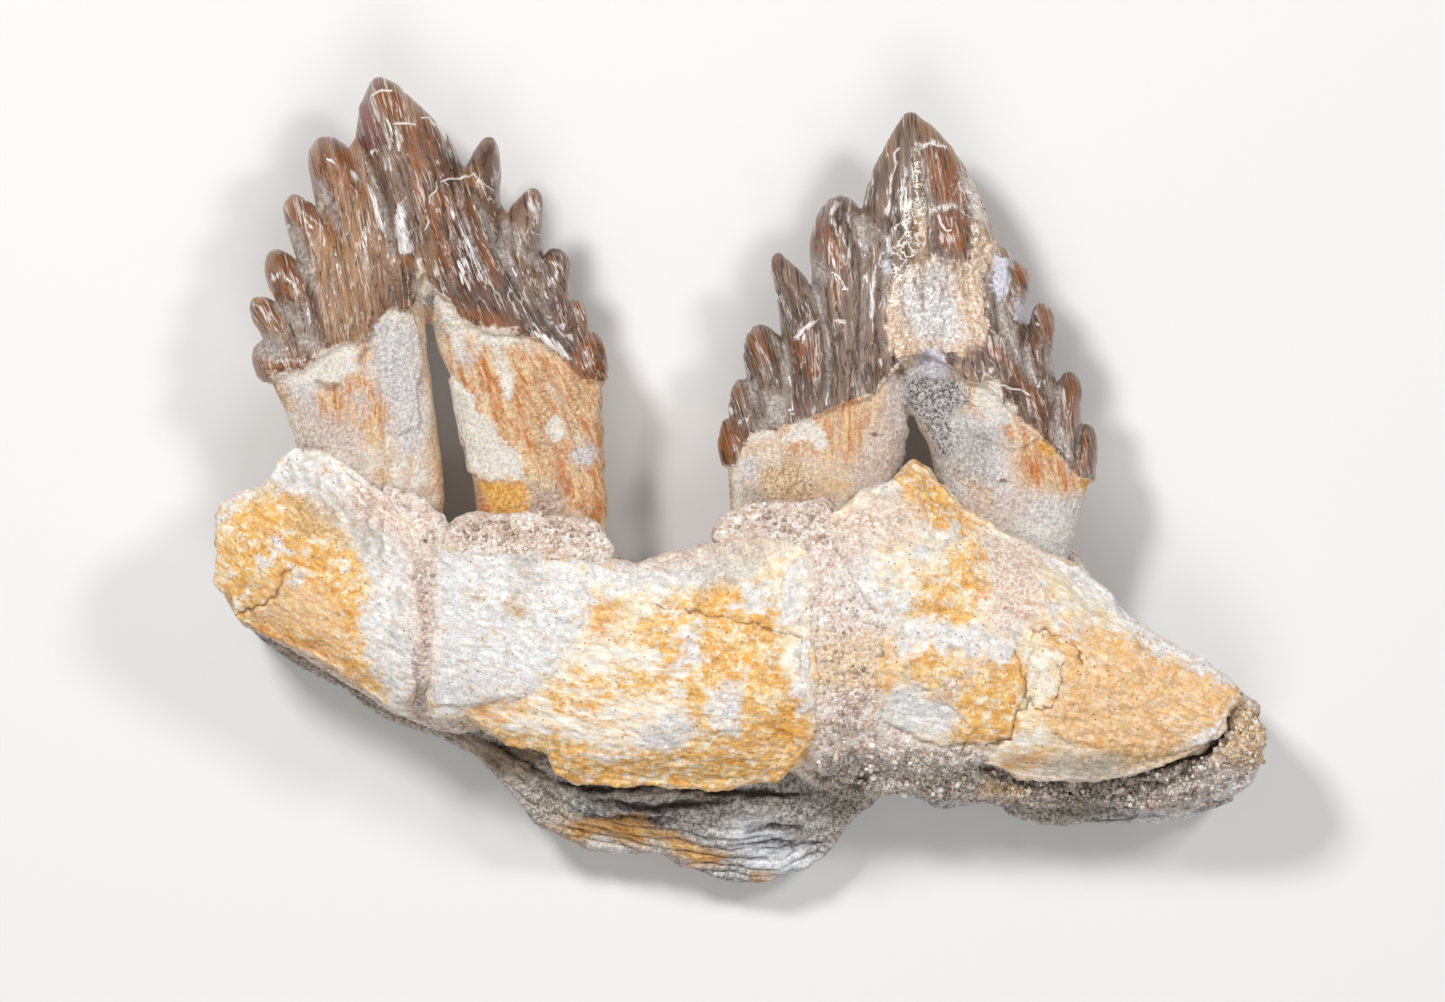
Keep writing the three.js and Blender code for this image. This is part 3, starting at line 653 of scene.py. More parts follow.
left_cusps = [
    ([(-78, 34), (-79, 46), (-80.6, 57), (-82.4, 67), (-83.9, 75), (-83.5, 81), (-82.2, 85), (-80.6, 88),
      (-79.6, 89)],
     [(-60, 36), (-59, 48), (-59.6, 60), (-60.8, 69), (-63, 74.4), (-66.4, 78.6), (-70.4, 82.8), (-74.4, 86.6),
      (-77.6, 88.7), (-78.9, 89.1)],
     (9, 9.8, 10.2, 9.8, 8.8, 7.4, 5.6, 3.2, 0.5)),
    ([(-88, 26), (-89, 40), (-90.2, 50), (-92, 58), (-93.4, 64), (-94.5, 69.6), (-94.4, 73), (-93, 75),
      (-91.4, 75.8)],
     [(-76, 30), (-76.2, 42), (-77, 52), (-79, 59.6), (-81.8, 66), (-84.4, 71), (-86.6, 74), (-89, 75.6),
      (-91, 75.9)],
     (9.4, 10, 9.9, 9.4, 8.6, 7.2, 5, 2.6, 0.5)),
    ([(-94, 22), (-95.6, 37), (-96.8, 48), (-98.6, 54), (-99.9, 58.6), (-99.8, 61.4), (-98.4, 63.2)],
     [(-86, 22), (-86.2, 36), (-86.8, 47), (-88.8, 54.6), (-91.6, 58.8), (-94.6, 61.6), (-97.6, 63.4)],
     (8.8, 9.6, 9, 7.8, 6, 3.6, 0.5)),
    ([(-99, 20), (-100.2, 31), (-101.6, 39.4), (-103.3, 43.4), (-104.1, 47), (-103.5, 50), (-102.3, 51)],
     [(-91.6, 20), (-91.6, 32), (-92.4, 40.6), (-94.2, 45), (-97, 48.2), (-99.6, 50.3), (-101.6, 51.1)],
     (8, 8.6, 7.8, 6.4, 4.6, 2.6, 0.5)),
    ([(-102.4, 20), (-103.2, 27), (-104.8, 32.4), (-106.7, 35.6), (-107.5, 38.4), (-107.2, 40.4)],
     [(-95.4, 20), (-96, 29), (-97.6, 34.8), (-100.4, 38.2), (-103.4, 40.3), (-106.4, 40.7)],
     (6.8, 7.2, 6, 4.4, 2.4, 0.5)),
    ([(-102.6, 21), (-105.6, 23.4), (-106.7, 27), (-106.2, 30), (-104, 31.6)],
     [(-96, 21), (-97.6, 25), (-99, 28), (-100.8, 30.4), (-103, 31.7)],
     (5.4, 6.2, 5.6, 3.6, 0.6)),
    ([(-62, 40), (-61.6, 52), (-61.2, 61), (-60.5, 67.4), (-59, 71.2), (-57, 74.2), (-55.4, 75.9)],
     [(-47, 42), (-50.2, 53), (-52.5, 60), (-52.7, 65), (-52.7, 70), (-53.2, 73.4), (-54.4, 75.9)],
     (9.4, 9.8, 9, 7.4, 5.2, 2.8, 0.4)),
    ([(-54.6, 34), (-54, 43), (-53, 50), (-51.6, 56), (-50, 60), (-47.8, 62.9), (-45.7, 64.7)],
     [(-38.4, 34), (-41.6, 43), (-43.2, 49.6), (-43.5, 55), (-43.4, 60), (-43.6, 62.8), (-44.7, 64.7)],
     (9, 9, 8, 6.2, 4.2, 2.2, 0.4)),
    ([(-47.6, 28), (-47, 36), (-45.9, 41.6), (-44.8, 46), (-43, 49.2), (-41.1, 51.2)],
     [(-34.6, 28), (-36, 35), (-37, 41), (-37.3, 45.4), (-37.4, 49), (-39.4, 51.1)], (7.8, 7.6, 6.2, 4.4, 2.4, 0.4)),
    ([(-41.6, 24), (-40.4, 31), (-38.8, 36.6), (-36.8, 40)],
     [(-32, 24), (-32.8, 30.6), (-33.3, 36), (-34.2, 39.4), (-35.7, 40.3)], (6.4, 5.8, 4.2, 2.2, 0.4)),
    ([(-38, 18), (-37, 24.6), (-35.8, 30), (-33.6, 33)], [(-29.4, 18), (-28.9, 25.6), (-29.9, 30.4), (-31.9, 33.2)],
     (6.4, 6.6, 5.2, 0.6)),
    ([(-70.6, 44), (-71.6, 54), (-73.6, 64), (-75.6, 74), (-78, 82)],
     [(-66, 42), (-66.4, 54), (-68.6, 65), (-71.6, 76), (-76, 84)], (9.6, 10.3, 10.2, 8.6, 4.6)),
]
left_roots = [
    [(-77, 46, 8, 5), (-82.3, 38, 14, 7.8), (-85.6, 30, 17.2, 8.4), (-85.2, 22, 17.6, 8.6), (-82.5, 13, 16.4, 8.8),
     (-81.5, 6, 16.1, 8.8), (-80.8, -2, 16, 8.4), (-80.2, -11, 14.6, 7.6), (-79.4, -20, 10.4, 6.2), (-79, -27, 4, 3)],
    [(-58, 46, 8, 5), (-53.4, 38, 14.5, 7.8), (-48.6, 29, 17.4, 8.4), (-46.5, 22, 16.8, 8.6), (-45.8, 15, 16, 8.6),
     (-45, 8, 15.5, 8.8), (-43.8, 0, 14.8, 8.6), (-43.2, -8, 14.5, 8), (-43, -16, 13, 7), (-43, -24, 8.4, 5.4),
     (-43, -29, 3, 2.6)],
    [(-69.4, 38.6, 2.2, 5), (-69.6, 42, 3.4, 7), (-69.7, 47, 4, 7.6), (-69.8, 54, 3, 7)],
]
print("left tooth:", len(left_crown + left_cusps + left_roots), "forms")

# %% The right tooth
right_crown = [
    [(38.8, 24, 10, 7.4), (38.8, 30.5, 20, 8.4), (38.4, 37, 22, 8.8), (38.6, 44, 20.6, 8.7), (40, 52, 17.2, 8.4),
     (41, 58, 13.6, 7), (40.4, 62, 11.2, 6), (39.6, 67, 8.8, 4.6), (39.2, 71, 6, 3.4), (38.8, 75, 2, 1)],
    [(17.6, -2, 19, 8.2), (18, 6, 19.6, 9), (19.6, 14, 18.6, 9.5), (22, 24, 15.8, 9.5), (25.6, 33, 12.6, 9.2),
     (29.6, 43, 9.6, 8.4), (33, 53, 6, 7)],
    [(58, -6, 18.8, 8.2), (57.6, 3, 19.2, 9), (56, 12, 17.8, 9.5), (53.2, 22, 15.4, 9.6), (49.8, 32, 12.4, 9.4),
     (46.6, 42, 10, 8.9), (44, 52, 7, 7.8)],
]
right_cusps = [
    ([(30, 18), (29.4, 32), (28.6, 44), (27.5, 54), (27.4, 60), (28.6, 65.4), (30.8, 71), (33.8, 76.2), (36.2, 80.2),
      (37.3, 81.4)],
     [(48, 18), (51.4, 32), (54.6, 44), (56.2, 52), (55.7, 57), (53.1, 63.6), (49.7, 69.4), (45.9, 74.8),
      (41.6, 78.9), (38.7, 81.5)],
     (9.4, 10, 10.2, 9.8, 9, 7.8, 6.2, 4.2, 2, 0.5)),
    ([(16.4, 8), (16.8, 20), (16.6, 32), (16.6, 42), (16.2, 48), (16.3, 54), (17.7, 58.8), (19.5, 61.6),
      (20.9, 62.7)],
     [(29.8, 8), (30.2, 20), (30.6, 32), (30.2, 42), (29.4, 50), (28.3, 56), (26.8, 60.2), (24.6, 62.2), (22, 62.9)],
     (8.8, 9.9, 10.1, 9.7, 8.8, 7.2, 5.4, 3, 0.6)),
    ([(10.4, 8), (10.4, 18), (10.1, 28), (9.6, 36), (8.6, 42), (7.6, 47.2), (7.8, 50.2)],
     [(21, 8), (20.6, 20), (19.6, 32), (17.8, 40), (14.6, 45), (11.2, 48.6), (9, 50.6)],
     (8.4, 9.3, 8.8, 7.2, 5, 2.6, 0.4)),
    ([(3, 4), (2.7, 13), (2.3, 21), (1.3, 27), (1.9, 31.4), (3.5, 34.4)],
     [(14, 4), (13.4, 15), (12.3, 24), (10.4, 30), (7.6, 33.3), (5, 34.8)],
     (7.4, 7.9, 7, 5.2, 3, 0.5)),
    ([(-0.6, 2), (-1.3, 9), (-1.9, 15.6), (-1.4, 19.8), (-0.2, 22.5)],
     [(7.2, 2), (6.6, 10.4), (5.6, 17), (3.8, 21.3), (1.2, 22.7)],
     (5.8, 6, 4.8, 2.8, 0.4)),
    ([(-2.4, 1), (-4.1, 6), (-4.3, 10), (-3.2, 13.8)], [(3.2, 1), (3, 7), (1.6, 11.4), (-1.4, 14)],
     (5.6, 6, 4.4, 0.6)),
    ([(52, 12), (54.2, 25), (56.2, 37), (57.6, 43.6), (59.4, 48)],
     [(66.4, 12), (65.4, 24), (63.6, 33.6), (63, 39.6), (64, 44), (62.9, 47.2), (60.6, 48.8)],
     (9, 9.5, 8.4, 6.4, 4, 1)),
    ([(58, 5), (60.4, 17), (62.3, 27.4), (63.9, 34), (65.4, 38.6)],
     [(73, 5), (71.3, 16), (69.3, 24), (68.8, 29), (69.6, 34), (68.7, 37.8), (66.6, 39.6)],
     (8, 8, 6.6, 4.6, 2.6, 0.5)),
    ([(65, 0), (67, 9), (68.8, 17), (70.8, 23.2)],
     [(77, 0), (75.7, 8), (75.3, 15), (75.6, 20), (74.7, 23), (72.6, 24.6)], (6.6, 6.6, 5, 2.8, 0.5)),
    ([(70.6, -3), (72.4, 3.6), (74.4, 9), (76, 12.6)],
     [(78.2, -3), (78.6, 4), (78.8, 8.6), (78.1, 11.6), (76.8, 12.9)], (5.6, 5.8, 4.4, 2.6, 0.5)),
    ([(48, 26), (51, 38), (53.4, 46), (55.4, 51.6)], [(59, 26), (60, 38), (60.8, 45.4), (59.8, 50), (57.2, 52.4)],
     (8.8, 8.4, 7, 4.6, 0.6)),
    ([(36.6, 40), (37.4, 52), (37.2, 62), (36.8, 72), (37.2, 79)],
     [(42, 40), (42.6, 52), (42.4, 62), (41.4, 71), (38.6, 79)], (9.8, 10.5, 9.6, 7, 2)),
]
right_roots = [
    [(27, 30, 8, 5), (22, 22, 13.4, 7.8), (18.4, 14, 19, 8.4), (16.8, 6, 19.3, 8.6), (16.4, -2, 18.4, 8.8),
     (16, -10, 17.3, 8.4), (16, -18, 14, 7.2), (16, -26, 9, 5.6), (16, -32, 3, 2.6)],
    [(49, 30, 6, 5), (53, 21, 11, 7.8), (56.6, 12, 15.4, 8.4), (59.8, 3, 17, 8.6), (60, -3, 16.8, 8.8),
     (59.6, -9, 15.3, 8.4), (59.4, -16, 13.9, 7.4), (59.4, -25, 10, 6), (59.4, -33, 3, 2.6)],
    [(41.2, 14.4, 3.4, 5), (42.2, 18, 6.4, 6.6), (42.8, 26, 8, 7.4), (43, 34, 4, 7)],
    [(44.8, 2, 1.4, 4.6), (44.4, 8, 2.8, 5.8), (43.6, 13, 4.6, 6.4), (43, 22, 6, 7)],
]
print("right tooth:", len(right_crown + right_cusps + right_roots), "forms")

# %% [markdown]
# The enamel cap ends on an uneven line above the roots. Below it lies dentine, which is softer and has
# worn back a little, so the cap stands proud as a thin lip. The crown's columns and leaves are therefore
# cut off just below that line before they share one remesh with the roots, and the relief then lifts
# the enamel. The strokes give the growth lines, each as a place and an angle in degrees.

# %% Enamel lines and fibre strokes
left_enamel_line = [
    (-112, 22), (-103, 22.2), (-100, 23.9), (-95.3, 24.5), (-91.8, 26.9), (-88.3, 29.8), (-84.2, 30.1), (-80.7, 32.1),
    (-78.3, 35.1), (-77.1, 37.4), (-72.4, 37.7), (-70.7, 39.8), (-70.2, 45), (-69.5, 48.8), (-68.4, 45.5),
    (-66.6, 42.6), (-63.1, 39.6), (-59.5, 35.1), (-55.4, 33), (-48.4, 32.4), (-44.9, 32.1), (-41.9, 29.8),
    (-37.8, 26.3), (-34.3, 22.6), (-22, 21.5),
]
right_enamel_line = [
    (-10, 3), (-4, 3.6), (-0.5, 4), (2.4, 10.8), (8.6, 11.8), (13.8, 13.8), (17.2, 14.7), (20.1, 16.4), (29.3, 19.8),
    (32.1, 23.3), (36, 26.8), (41, 28.4), (45.5, 26.4), (49.9, 22.1), (55.7, 21.4), (58.6, 16.4), (63.7, 13),
    (68.9, 7.8), (74.6, 1), (84, -1),
]
left_strokes = [
    (-78, 85, 108), (-80, 76, 96), (-74, 78, 112), (-70, 70, 116), (-64, 70, 122), (-76, 66, 100), (-72, 58, 100),
    (-66, 58, 116), (-60, 58, 116), (-70, 46, 96), (-62, 46, 120), (-56, 66, 92), (-55, 50, 118), (-47, 57, 96),
    (-48, 42, 124), (-40, 45, 100), (-40, 32, 132), (-34, 28, 120), (-52, 35, 124), (-84, 60, 98), (-90, 70, 100),
    (-83, 45, 92), (-84, 32, 94), (-90, 55, 104), (-91, 40, 98), (-97, 55, 112), (-96, 42, 108), (-97, 30, 104),
    (-101, 45, 112), (-103, 34, 122), (-76, 42, 92), (-84, 20, 92), (-84, 0, 92), (-46, 20, 94), (-44, 0, 90),
]
right_strokes = [
    (37.5, 78, 90), (35, 70, 78), (42, 70, 108), (30, 62, 76), (38, 62, 92), (46, 62, 118), (33, 50, 82),
    (40, 48, 94), (50, 50, 116), (22, 56, 92), (22, 44, 90), (28, 40, 82), (22, 30, 92), (14, 40, 112), (15, 28, 96),
    (18, 20, 94), (6, 28, 104), (8, 16, 96), (2, 16, 106), (0, 8, 98), (33, 34, 84), (46, 36, 106), (54, 36, 112),
    (60, 42, 96), (60, 26, 114), (66, 32, 96), (67, 18, 114), (72, 18, 96), (74, 6, 104), (54, 22, 108), (18, 0, 92),
    (60, 0, 92),
]
print("fibre strokes:", len(left_strokes), len(right_strokes))

# %% Two bare teeth
TOOTH_VOXEL = 0.42
BOXY = -0.25
LIP_OVERHANG = 0.5


def tooth_skin(name, crown, cusps, roots, enamel_line):
    crown_forms = [column(s) for s in crown] + [leaf(*c) for c in cusps]
    root_forms = [column(s, BOXY) for s in roots]
    points, faces = joined(crown_forms + root_forms)
    below = np.interp(points[:, 0], *zip(*enamel_line)) - LIP_OVERHANG
    crown_count = sum(len(p) for p, _ in crown_forms)
    cut = np.arange(len(points)) < crown_count
    points[cut, 1] = np.maximum(points[cut, 1], below[cut])
    points, quads = remeshed(name, points, faces, TOOTH_VOXEL)
    return smoothed(points, quads, 4), quads


left_points, left_quads = tooth_skin("left", left_crown, left_cusps, left_roots, left_enamel_line)
right_points, right_quads = tooth_skin("right", right_crown, right_cusps, right_roots, right_enamel_line)
print("tooth skins:", len(left_points), len(right_points), "points")

# %% [markdown]
# Relief on the teeth, in order of size: the enamel lip, fine ribs along the growth lines, grooves cut
# between them, cracks and worn patches. The dentine of the roots is matt and pitted instead, with one
# broken flake. How deep a point sits below its smoothed surroundings is stored too, because pale rock
# dust stays in the hollows while the ribs are polished clean.

# %% Relief of a tooth
CRACK_WIDTH = 0.4


def height_above_line(points, line):
    """Signed distance to the enamel line: positive on enamel, negative on the roots."""
    x, y = points[:, 0], points[:, 1]
    d, _ = line_distance(x, y, line)
    return np.where(y > np.interp(x, *zip(*line)), d, -d)


def near_lines(points, lines, wander=0.5):
    """Distance in millimetres to the nearest of several lines drawn on the outer side."""
    x = points[:, 0] + wander * noise(points, 2.4, 3)
    y = points[:, 1] + wander * noise(points, 2.4, 4)
    return np.min([line_distance(x, y, line)[0] for line in lines], axis=0)


def hollowness(points, quads, normals, rounds):
    """Millimetres that each point lies below its surroundings, positive in grooves."""
    soft = smoothed(points, quads, rounds, 0)
    return ((soft - points) * normals).sum(axis=1)


def tooth_relief(points, quads, line, strokes, ridges, cracks, flakes, crusts, seed):
    normals = normals_of(points, quads)
    enamel = height_above_line(points, line) + 0.5 * roughness(points, 3, 2, seed)
    ribs = across_fibres(strokes)
    fp = fibre_points(points, ribs, 9)
    on_enamel = step(enamel, -0.2, 0.5)
    worn = step(roughness(points, 14, 2, seed + 1), -0.4, 0.5)
    facing = step(normals[:, 2], -0.1, 0.5)
    fine_ribs = (0.08 + 0.14 * worn) * roughness(fp, 1.1, 2, seed + 3)
    lift = on_enamel * (0.35 + 0.22 * roughness(fp, 3.6, 3, seed + 2) + fine_ribs)
    for size, depth in ((3.1, 0.16), (1.7, 0.12)):
        groove = 1 - (np.abs(noise(fp, size, seed + 4)) * 7).clip(0, 1)
        lift -= on_enamel * depth * (0.4 + worn) * groove
    lift += 0.55 * on_enamel * facing * creases(points, ridges, 0.4, seed + 8)
    crusted = step(patches(points, crusts, 0.8, seed), -0.6, 0.6)
    lift += facing * crusted * (0.35 + 0.5 * roughness(points, 1.5, 3, seed + 9))
    pitted = 0.35 * roughness(points, 5, 4, seed + 5) + 0.25 * roughness(fp, 2.2, 2, seed + 6)
    lift += (1 - on_enamel) * (pitted - 0.25)
    lift += (1 - on_enamel) * 0.8 * step(patches(points, flakes, 1.0, seed), -0.2, 0.2)
    crack = near_lines(points, cracks)
    lift -= 0.2 * np.exp(-((crack / CRACK_WIDTH) ** 2))
    moved = points + normals * lift[:, None]
    return moved, enamel, ribs(points), crack


# %% Ridges and grooves: height, half width and line
left_ridges = [
    (1.3, 2.6, [(-91.6, 74.2), (-88.8, 70.6), (-85.4, 66.6), (-82, 61.6), (-80, 56), (-79, 48)]),
    (-1.5, 2.6, [(-92.6, 67), (-90.4, 62.6), (-88.4, 58.6), (-87.4, 54)]),
    (-1.4, 2.2, [(-85, 75), (-82.4, 71), (-79.4, 65), (-77.6, 60), (-76.4, 54), (-75.6, 48)]),
    (1.2, 2.6, [(-79.6, 88), (-79.8, 84.4), (-77.6, 80), (-74.4, 74.6), (-72.6, 70), (-70.4, 64), (-68.6, 58.6),
     (-67.6, 53)]),
    (-0.9, 2.4, [(-73, 84), (-70, 79), (-67.6, 73), (-65.6, 67), (-64, 62)]),
    (-1.0, 1.6, [(-74, 61), (-73, 56), (-72, 51)]),
    (-2.0, 3.6, [(-54.8, 63), (-53.6, 57), (-51.6, 50), (-48, 44.4), (-43.6, 39), (-38.6, 32), (-36, 28)]),
    (0.9, 1.3, [(-64.6, 63), (-62.6, 58), (-59.6, 52), (-57, 46), (-55.6, 42)]),
    (0.8, 1.1, [(-66, 60), (-63, 52.6), (-60.6, 46), (-59, 42)]),
    (-0.8, 1.2, [(-62, 62), (-59.6, 56.6), (-57, 50.6), (-54.6, 44)]),
    (1.0, 1.8, [(-60, 68), (-58, 61), (-55.6, 54), (-52.6, 47), (-49, 41), (-45, 35)]),
    (0.9, 1.8, [(-54.6, 75), (-56, 70), (-57.4, 65)]), (0.9, 1.5, [(-45.4, 63.8), (-45.4, 59), (-46, 54)]),
    (-1.0, 1.6, [(-52.6, 60), (-50.6, 56), (-49, 51)]), (1.1, 1.7, [(-40.2, 50), (-40.6, 46), (-42, 42)]),
    (-1.0, 1.5, [(-44.6, 50), (-44.2, 45), (-42.6, 40)]), (0.8, 1.2, [(-35.2, 39.2), (-36, 36), (-37.4, 33)]),
    (1.2, 2.0, [(-98.2, 61.8), (-95.6, 58.4), (-92.4, 55.6), (-89.6, 52.6), (-87.6, 48)]),
    (-1.4, 2.3, [(-98, 56.6), (-95.8, 52), (-94, 47.6)]), (-1.5, 2.0, [(-94.4, 61.8), (-91.4, 59.6), (-88.6, 57)]),
    (1.2, 1.9, [(-102.2, 49.8), (-100, 46.4), (-97, 43), (-94, 40)]),
    (-1.0, 1.6, [(-101, 41.4), (-99, 38.6), (-97.4, 36)]), (-1.4, 1.8, [(-97, 48.4), (-94.6, 45.8), (-92.4, 43)]),
    (1.1, 1.6, [(-106.6, 39.4), (-104.4, 36.8), (-101.8, 34.2), (-99.6, 31.6)]),
    (-1.3, 1.9, [(-103, 39.8), (-99.8, 37.6), (-97, 35)]), (-1.4, 2.4, [(-105.6, 32), (-102.6, 29.4), (-99.6, 28.4)]),
    (1.0, 1.5, [(-106, 25.4), (-101, 25), (-96, 26), (-92, 27.4)]),
    (1.0, 2.0, [(-86.6, 56), (-85, 48), (-84.6, 40), (-84.8, 32)]), (-0.8, 1.6, [(-83, 52), (-81.6, 46), (-81, 38)]),
    (-0.8, 1.6, [(-89, 46), (-88, 40), (-88, 32)]),
]
right_ridges = [
    (0.9, 2.8, [(37.9, 80.4), (38.6, 74), (39.4, 68), (39.8, 60), (39, 52), (37.6, 46)]),
    (-0.8, 1.8, [(34.6, 76), (33.6, 70), (32.8, 64), (32.4, 58)]),
    (1.2, 2.2, [(21.4, 61.8), (20.8, 57), (22.6, 52), (24.4, 46), (25.2, 38), (25, 28), (24, 20)]),
    (-1.2, 2.0, [(16.8, 54), (17.6, 49.6), (19, 45)]), (-1.6, 2.4, [(24, 59), (26.4, 56), (27.8, 51), (28, 46)]),
    (1.0, 1.5, [(29.6, 58), (29.6, 50), (29.8, 44), (29.2, 36), (29.6, 28)]),
    (-1.3, 1.6, [(32.6, 58), (32.4, 52), (32, 46), (31.6, 38)]),
    (1.2, 1.8, [(8.6, 49.4), (11, 44.6), (13.6, 40), (15.8, 35.6), (17, 30), (16.8, 22)]),
    (-1.2, 1.7, [(9, 43), (11, 38), (12.6, 33)]),
    (-1.6, 1.9, [(16.6, 44.4), (18, 40), (19, 35), (19.8, 28), (19.4, 21), (18.6, 16)]),
    (1.1, 1.7, [(3.6, 33.6), (5.4, 29.6), (7.6, 25.4), (9.2, 20), (9.6, 15)]),
    (-1.3, 1.6, [(9.6, 31.8), (10.8, 27), (11.6, 21), (11.8, 15)]), (-1.0, 1.4, [(2.6, 29), (4, 24), (5, 20)]),
    (0.9, 1.2, [(0.4, 21.6), (1, 18), (2, 14.6)]), (-1.1, 1.3, [(3, 21), (4.4, 17), (5.4, 13)]),
    (-1.8, 2.4, [(57, 50), (56.4, 43), (58, 36), (61, 29), (65, 22), (68.6, 14), (71.6, 7)]),
    (1.0, 1.6, [(60.8, 47), (60, 42), (60, 36), (62.4, 30)]),
    (-1.4, 2.0, [(63.6, 38), (62.4, 33), (63.4, 28), (66.6, 21)]),
    (1.0, 1.6, [(67, 38.6), (66.8, 34), (66, 29), (67.4, 23)]),
    (-1.3, 1.7, [(70, 23), (69.6, 17), (71.4, 11), (73, 6)]), (0.9, 1.4, [(74, 23), (73, 18), (72.8, 13), (73.8, 8)]),
    (-1.0, 1.3, [(75.6, 12.4), (74.4, 9), (74.6, 5)]), (0.8, 1.3, [(77, 11.2), (76, 7), (75.6, 3)]),
    (0.8, 1.4, [(50, 34), (54, 28), (58, 22), (62, 15)]), (-0.8, 1.4, [(52, 26), (57, 21), (61, 14.6)]),
    (0.8, 1.3, [(22, 30), (21.8, 24), (21, 18)]), (-0.8, 1.2, [(26.6, 34), (26.8, 27), (26, 21)]),
]
print("ridges:", len(left_ridges), len(right_ridges))

# %% Cracks, flakes and crusts
left_cracks = [
    [(-65, 66), (-62, 66.9), (-58, 67.5), (-54, 64)], [(-79.8, 84.8), (-78.6, 86), (-76.4, 86.1)],
    [(-75.4, 78.4), (-73, 78.6), (-71, 78.6)], [(-69.5, 80.1), (-68.2, 80.2), (-67.5, 79), (-65.8, 78)],
    [(-66.2, 65.8), (-66, 64.5), (-67.6, 62.6), (-67.8, 60.8)],
    [(-69, 59.5), (-68.6, 58.6), (-67.9, 56.6), (-68.8, 55.4)], [(-46, 55), (-44, 54.6)],
]
right_cracks = [
    [(39.2, 74.2), (41, 74.2), (45.6, 73.8)], [(35.6, 73.6), (34.2, 72), (34.6, 70), (33.4, 66.6), (33, 63.4)],
    [(12.6, 31.8), (14.2, 33.6), (16.4, 34.8), (17.6, 35.8)], [(35, 56.3), (37.8, 57.8)],
    [(21, 46), (22.6, 44.4), (23.4, 42.4)], [(43.8, 58.8), (43.9, 56.6), (45.4, 55.2), (46.6, 55.3)],
    [(54.6, 22), (58, 21), (61, 20.4), (64, 19)], [(21.2, 35.4), (23.8, 35.4)],
]
left_flakes = [
    [(-64, 23), (-58, 20), (-57, 16), (-53, 12), (-52, 9), (-50, 8), (-47, 4), (-47, 0), (-55, 0), (-59, 3),
     (-61, 10)],
    [(-80, 36), (-71, 38), (-70, 28), (-70, 12), (-76, 10), (-79, 20)],
]
right_flakes = [
    [(26, 22), (35, 26), (37, 12), (36, -2), (27, -4), (25, 8)],
    [(50, 14), (54, 17), (62, 13), (66, 10), (60, 6), (52, 10)],
]
left_crusts = [
    (11, [(-101, 7), (-91, 6.5), (-85, 2.5), (-79, -2.5), (-72, -10)]), (2.4, [(-78, 77), (-75, 74), (-73.6, 72)]),
    [(-74.6, 61.5), (-73.2, 62), (-72.6, 58), (-71, 50.4), (-74, 50.4), (-75, 55)],
]
right_crusts = [
    [(34, 44), (36.6, 45.6), (39.6, 48.4), (39, 53), (38.6, 59.6), (40.4, 60.6), (40.8, 56), (41.2, 50), (46.4, 47.4),
     (50.8, 49.4), (51.6, 56), (51.8, 62), (51.6, 66), (52.4, 62), (53.4, 58), (54.4, 55), (57, 52.4), (56, 48),
     (53.6, 46), (54, 38), (54.6, 33), (53.8, 30), (50, 27.6), (46.6, 29), (42, 29.6), (38, 27.6), (35.4, 26.6),
     (32.6, 29.6), (31.8, 34), (32.6, 40)],
]
print("cracks:", len(left_cracks), len(right_cracks))

# %% Teeth with their relief
left_tooth_points, left_enamel, left_ribs, left_crack = tooth_relief(
    left_points, left_quads, left_enamel_line, left_strokes,
    left_ridges, left_cracks, left_flakes, left_crusts, 100)
right_tooth_points, right_enamel, right_ribs, right_crack = tooth_relief(
    right_points, right_quads, right_enamel_line, right_strokes,
    right_ridges, right_cracks, right_flakes, right_crusts, 200)
print("relief up to", round(float(np.abs(left_tooth_points - left_points).max()), 2), "mm")

# %% [markdown]
# Fossil enamel is apatite, hard and glassy with a refractive index near 1.63, stained grey-brown by
# the sediment, amber where it is thin and clean over a cusp, and white where it is crushed or crusted
# with lime. A photo wrapped round it would give these too, but layers of stain can be aimed at the
# cusps and flanks where they belong.

# %% Enamel
APATITE_INDEX = 1.63


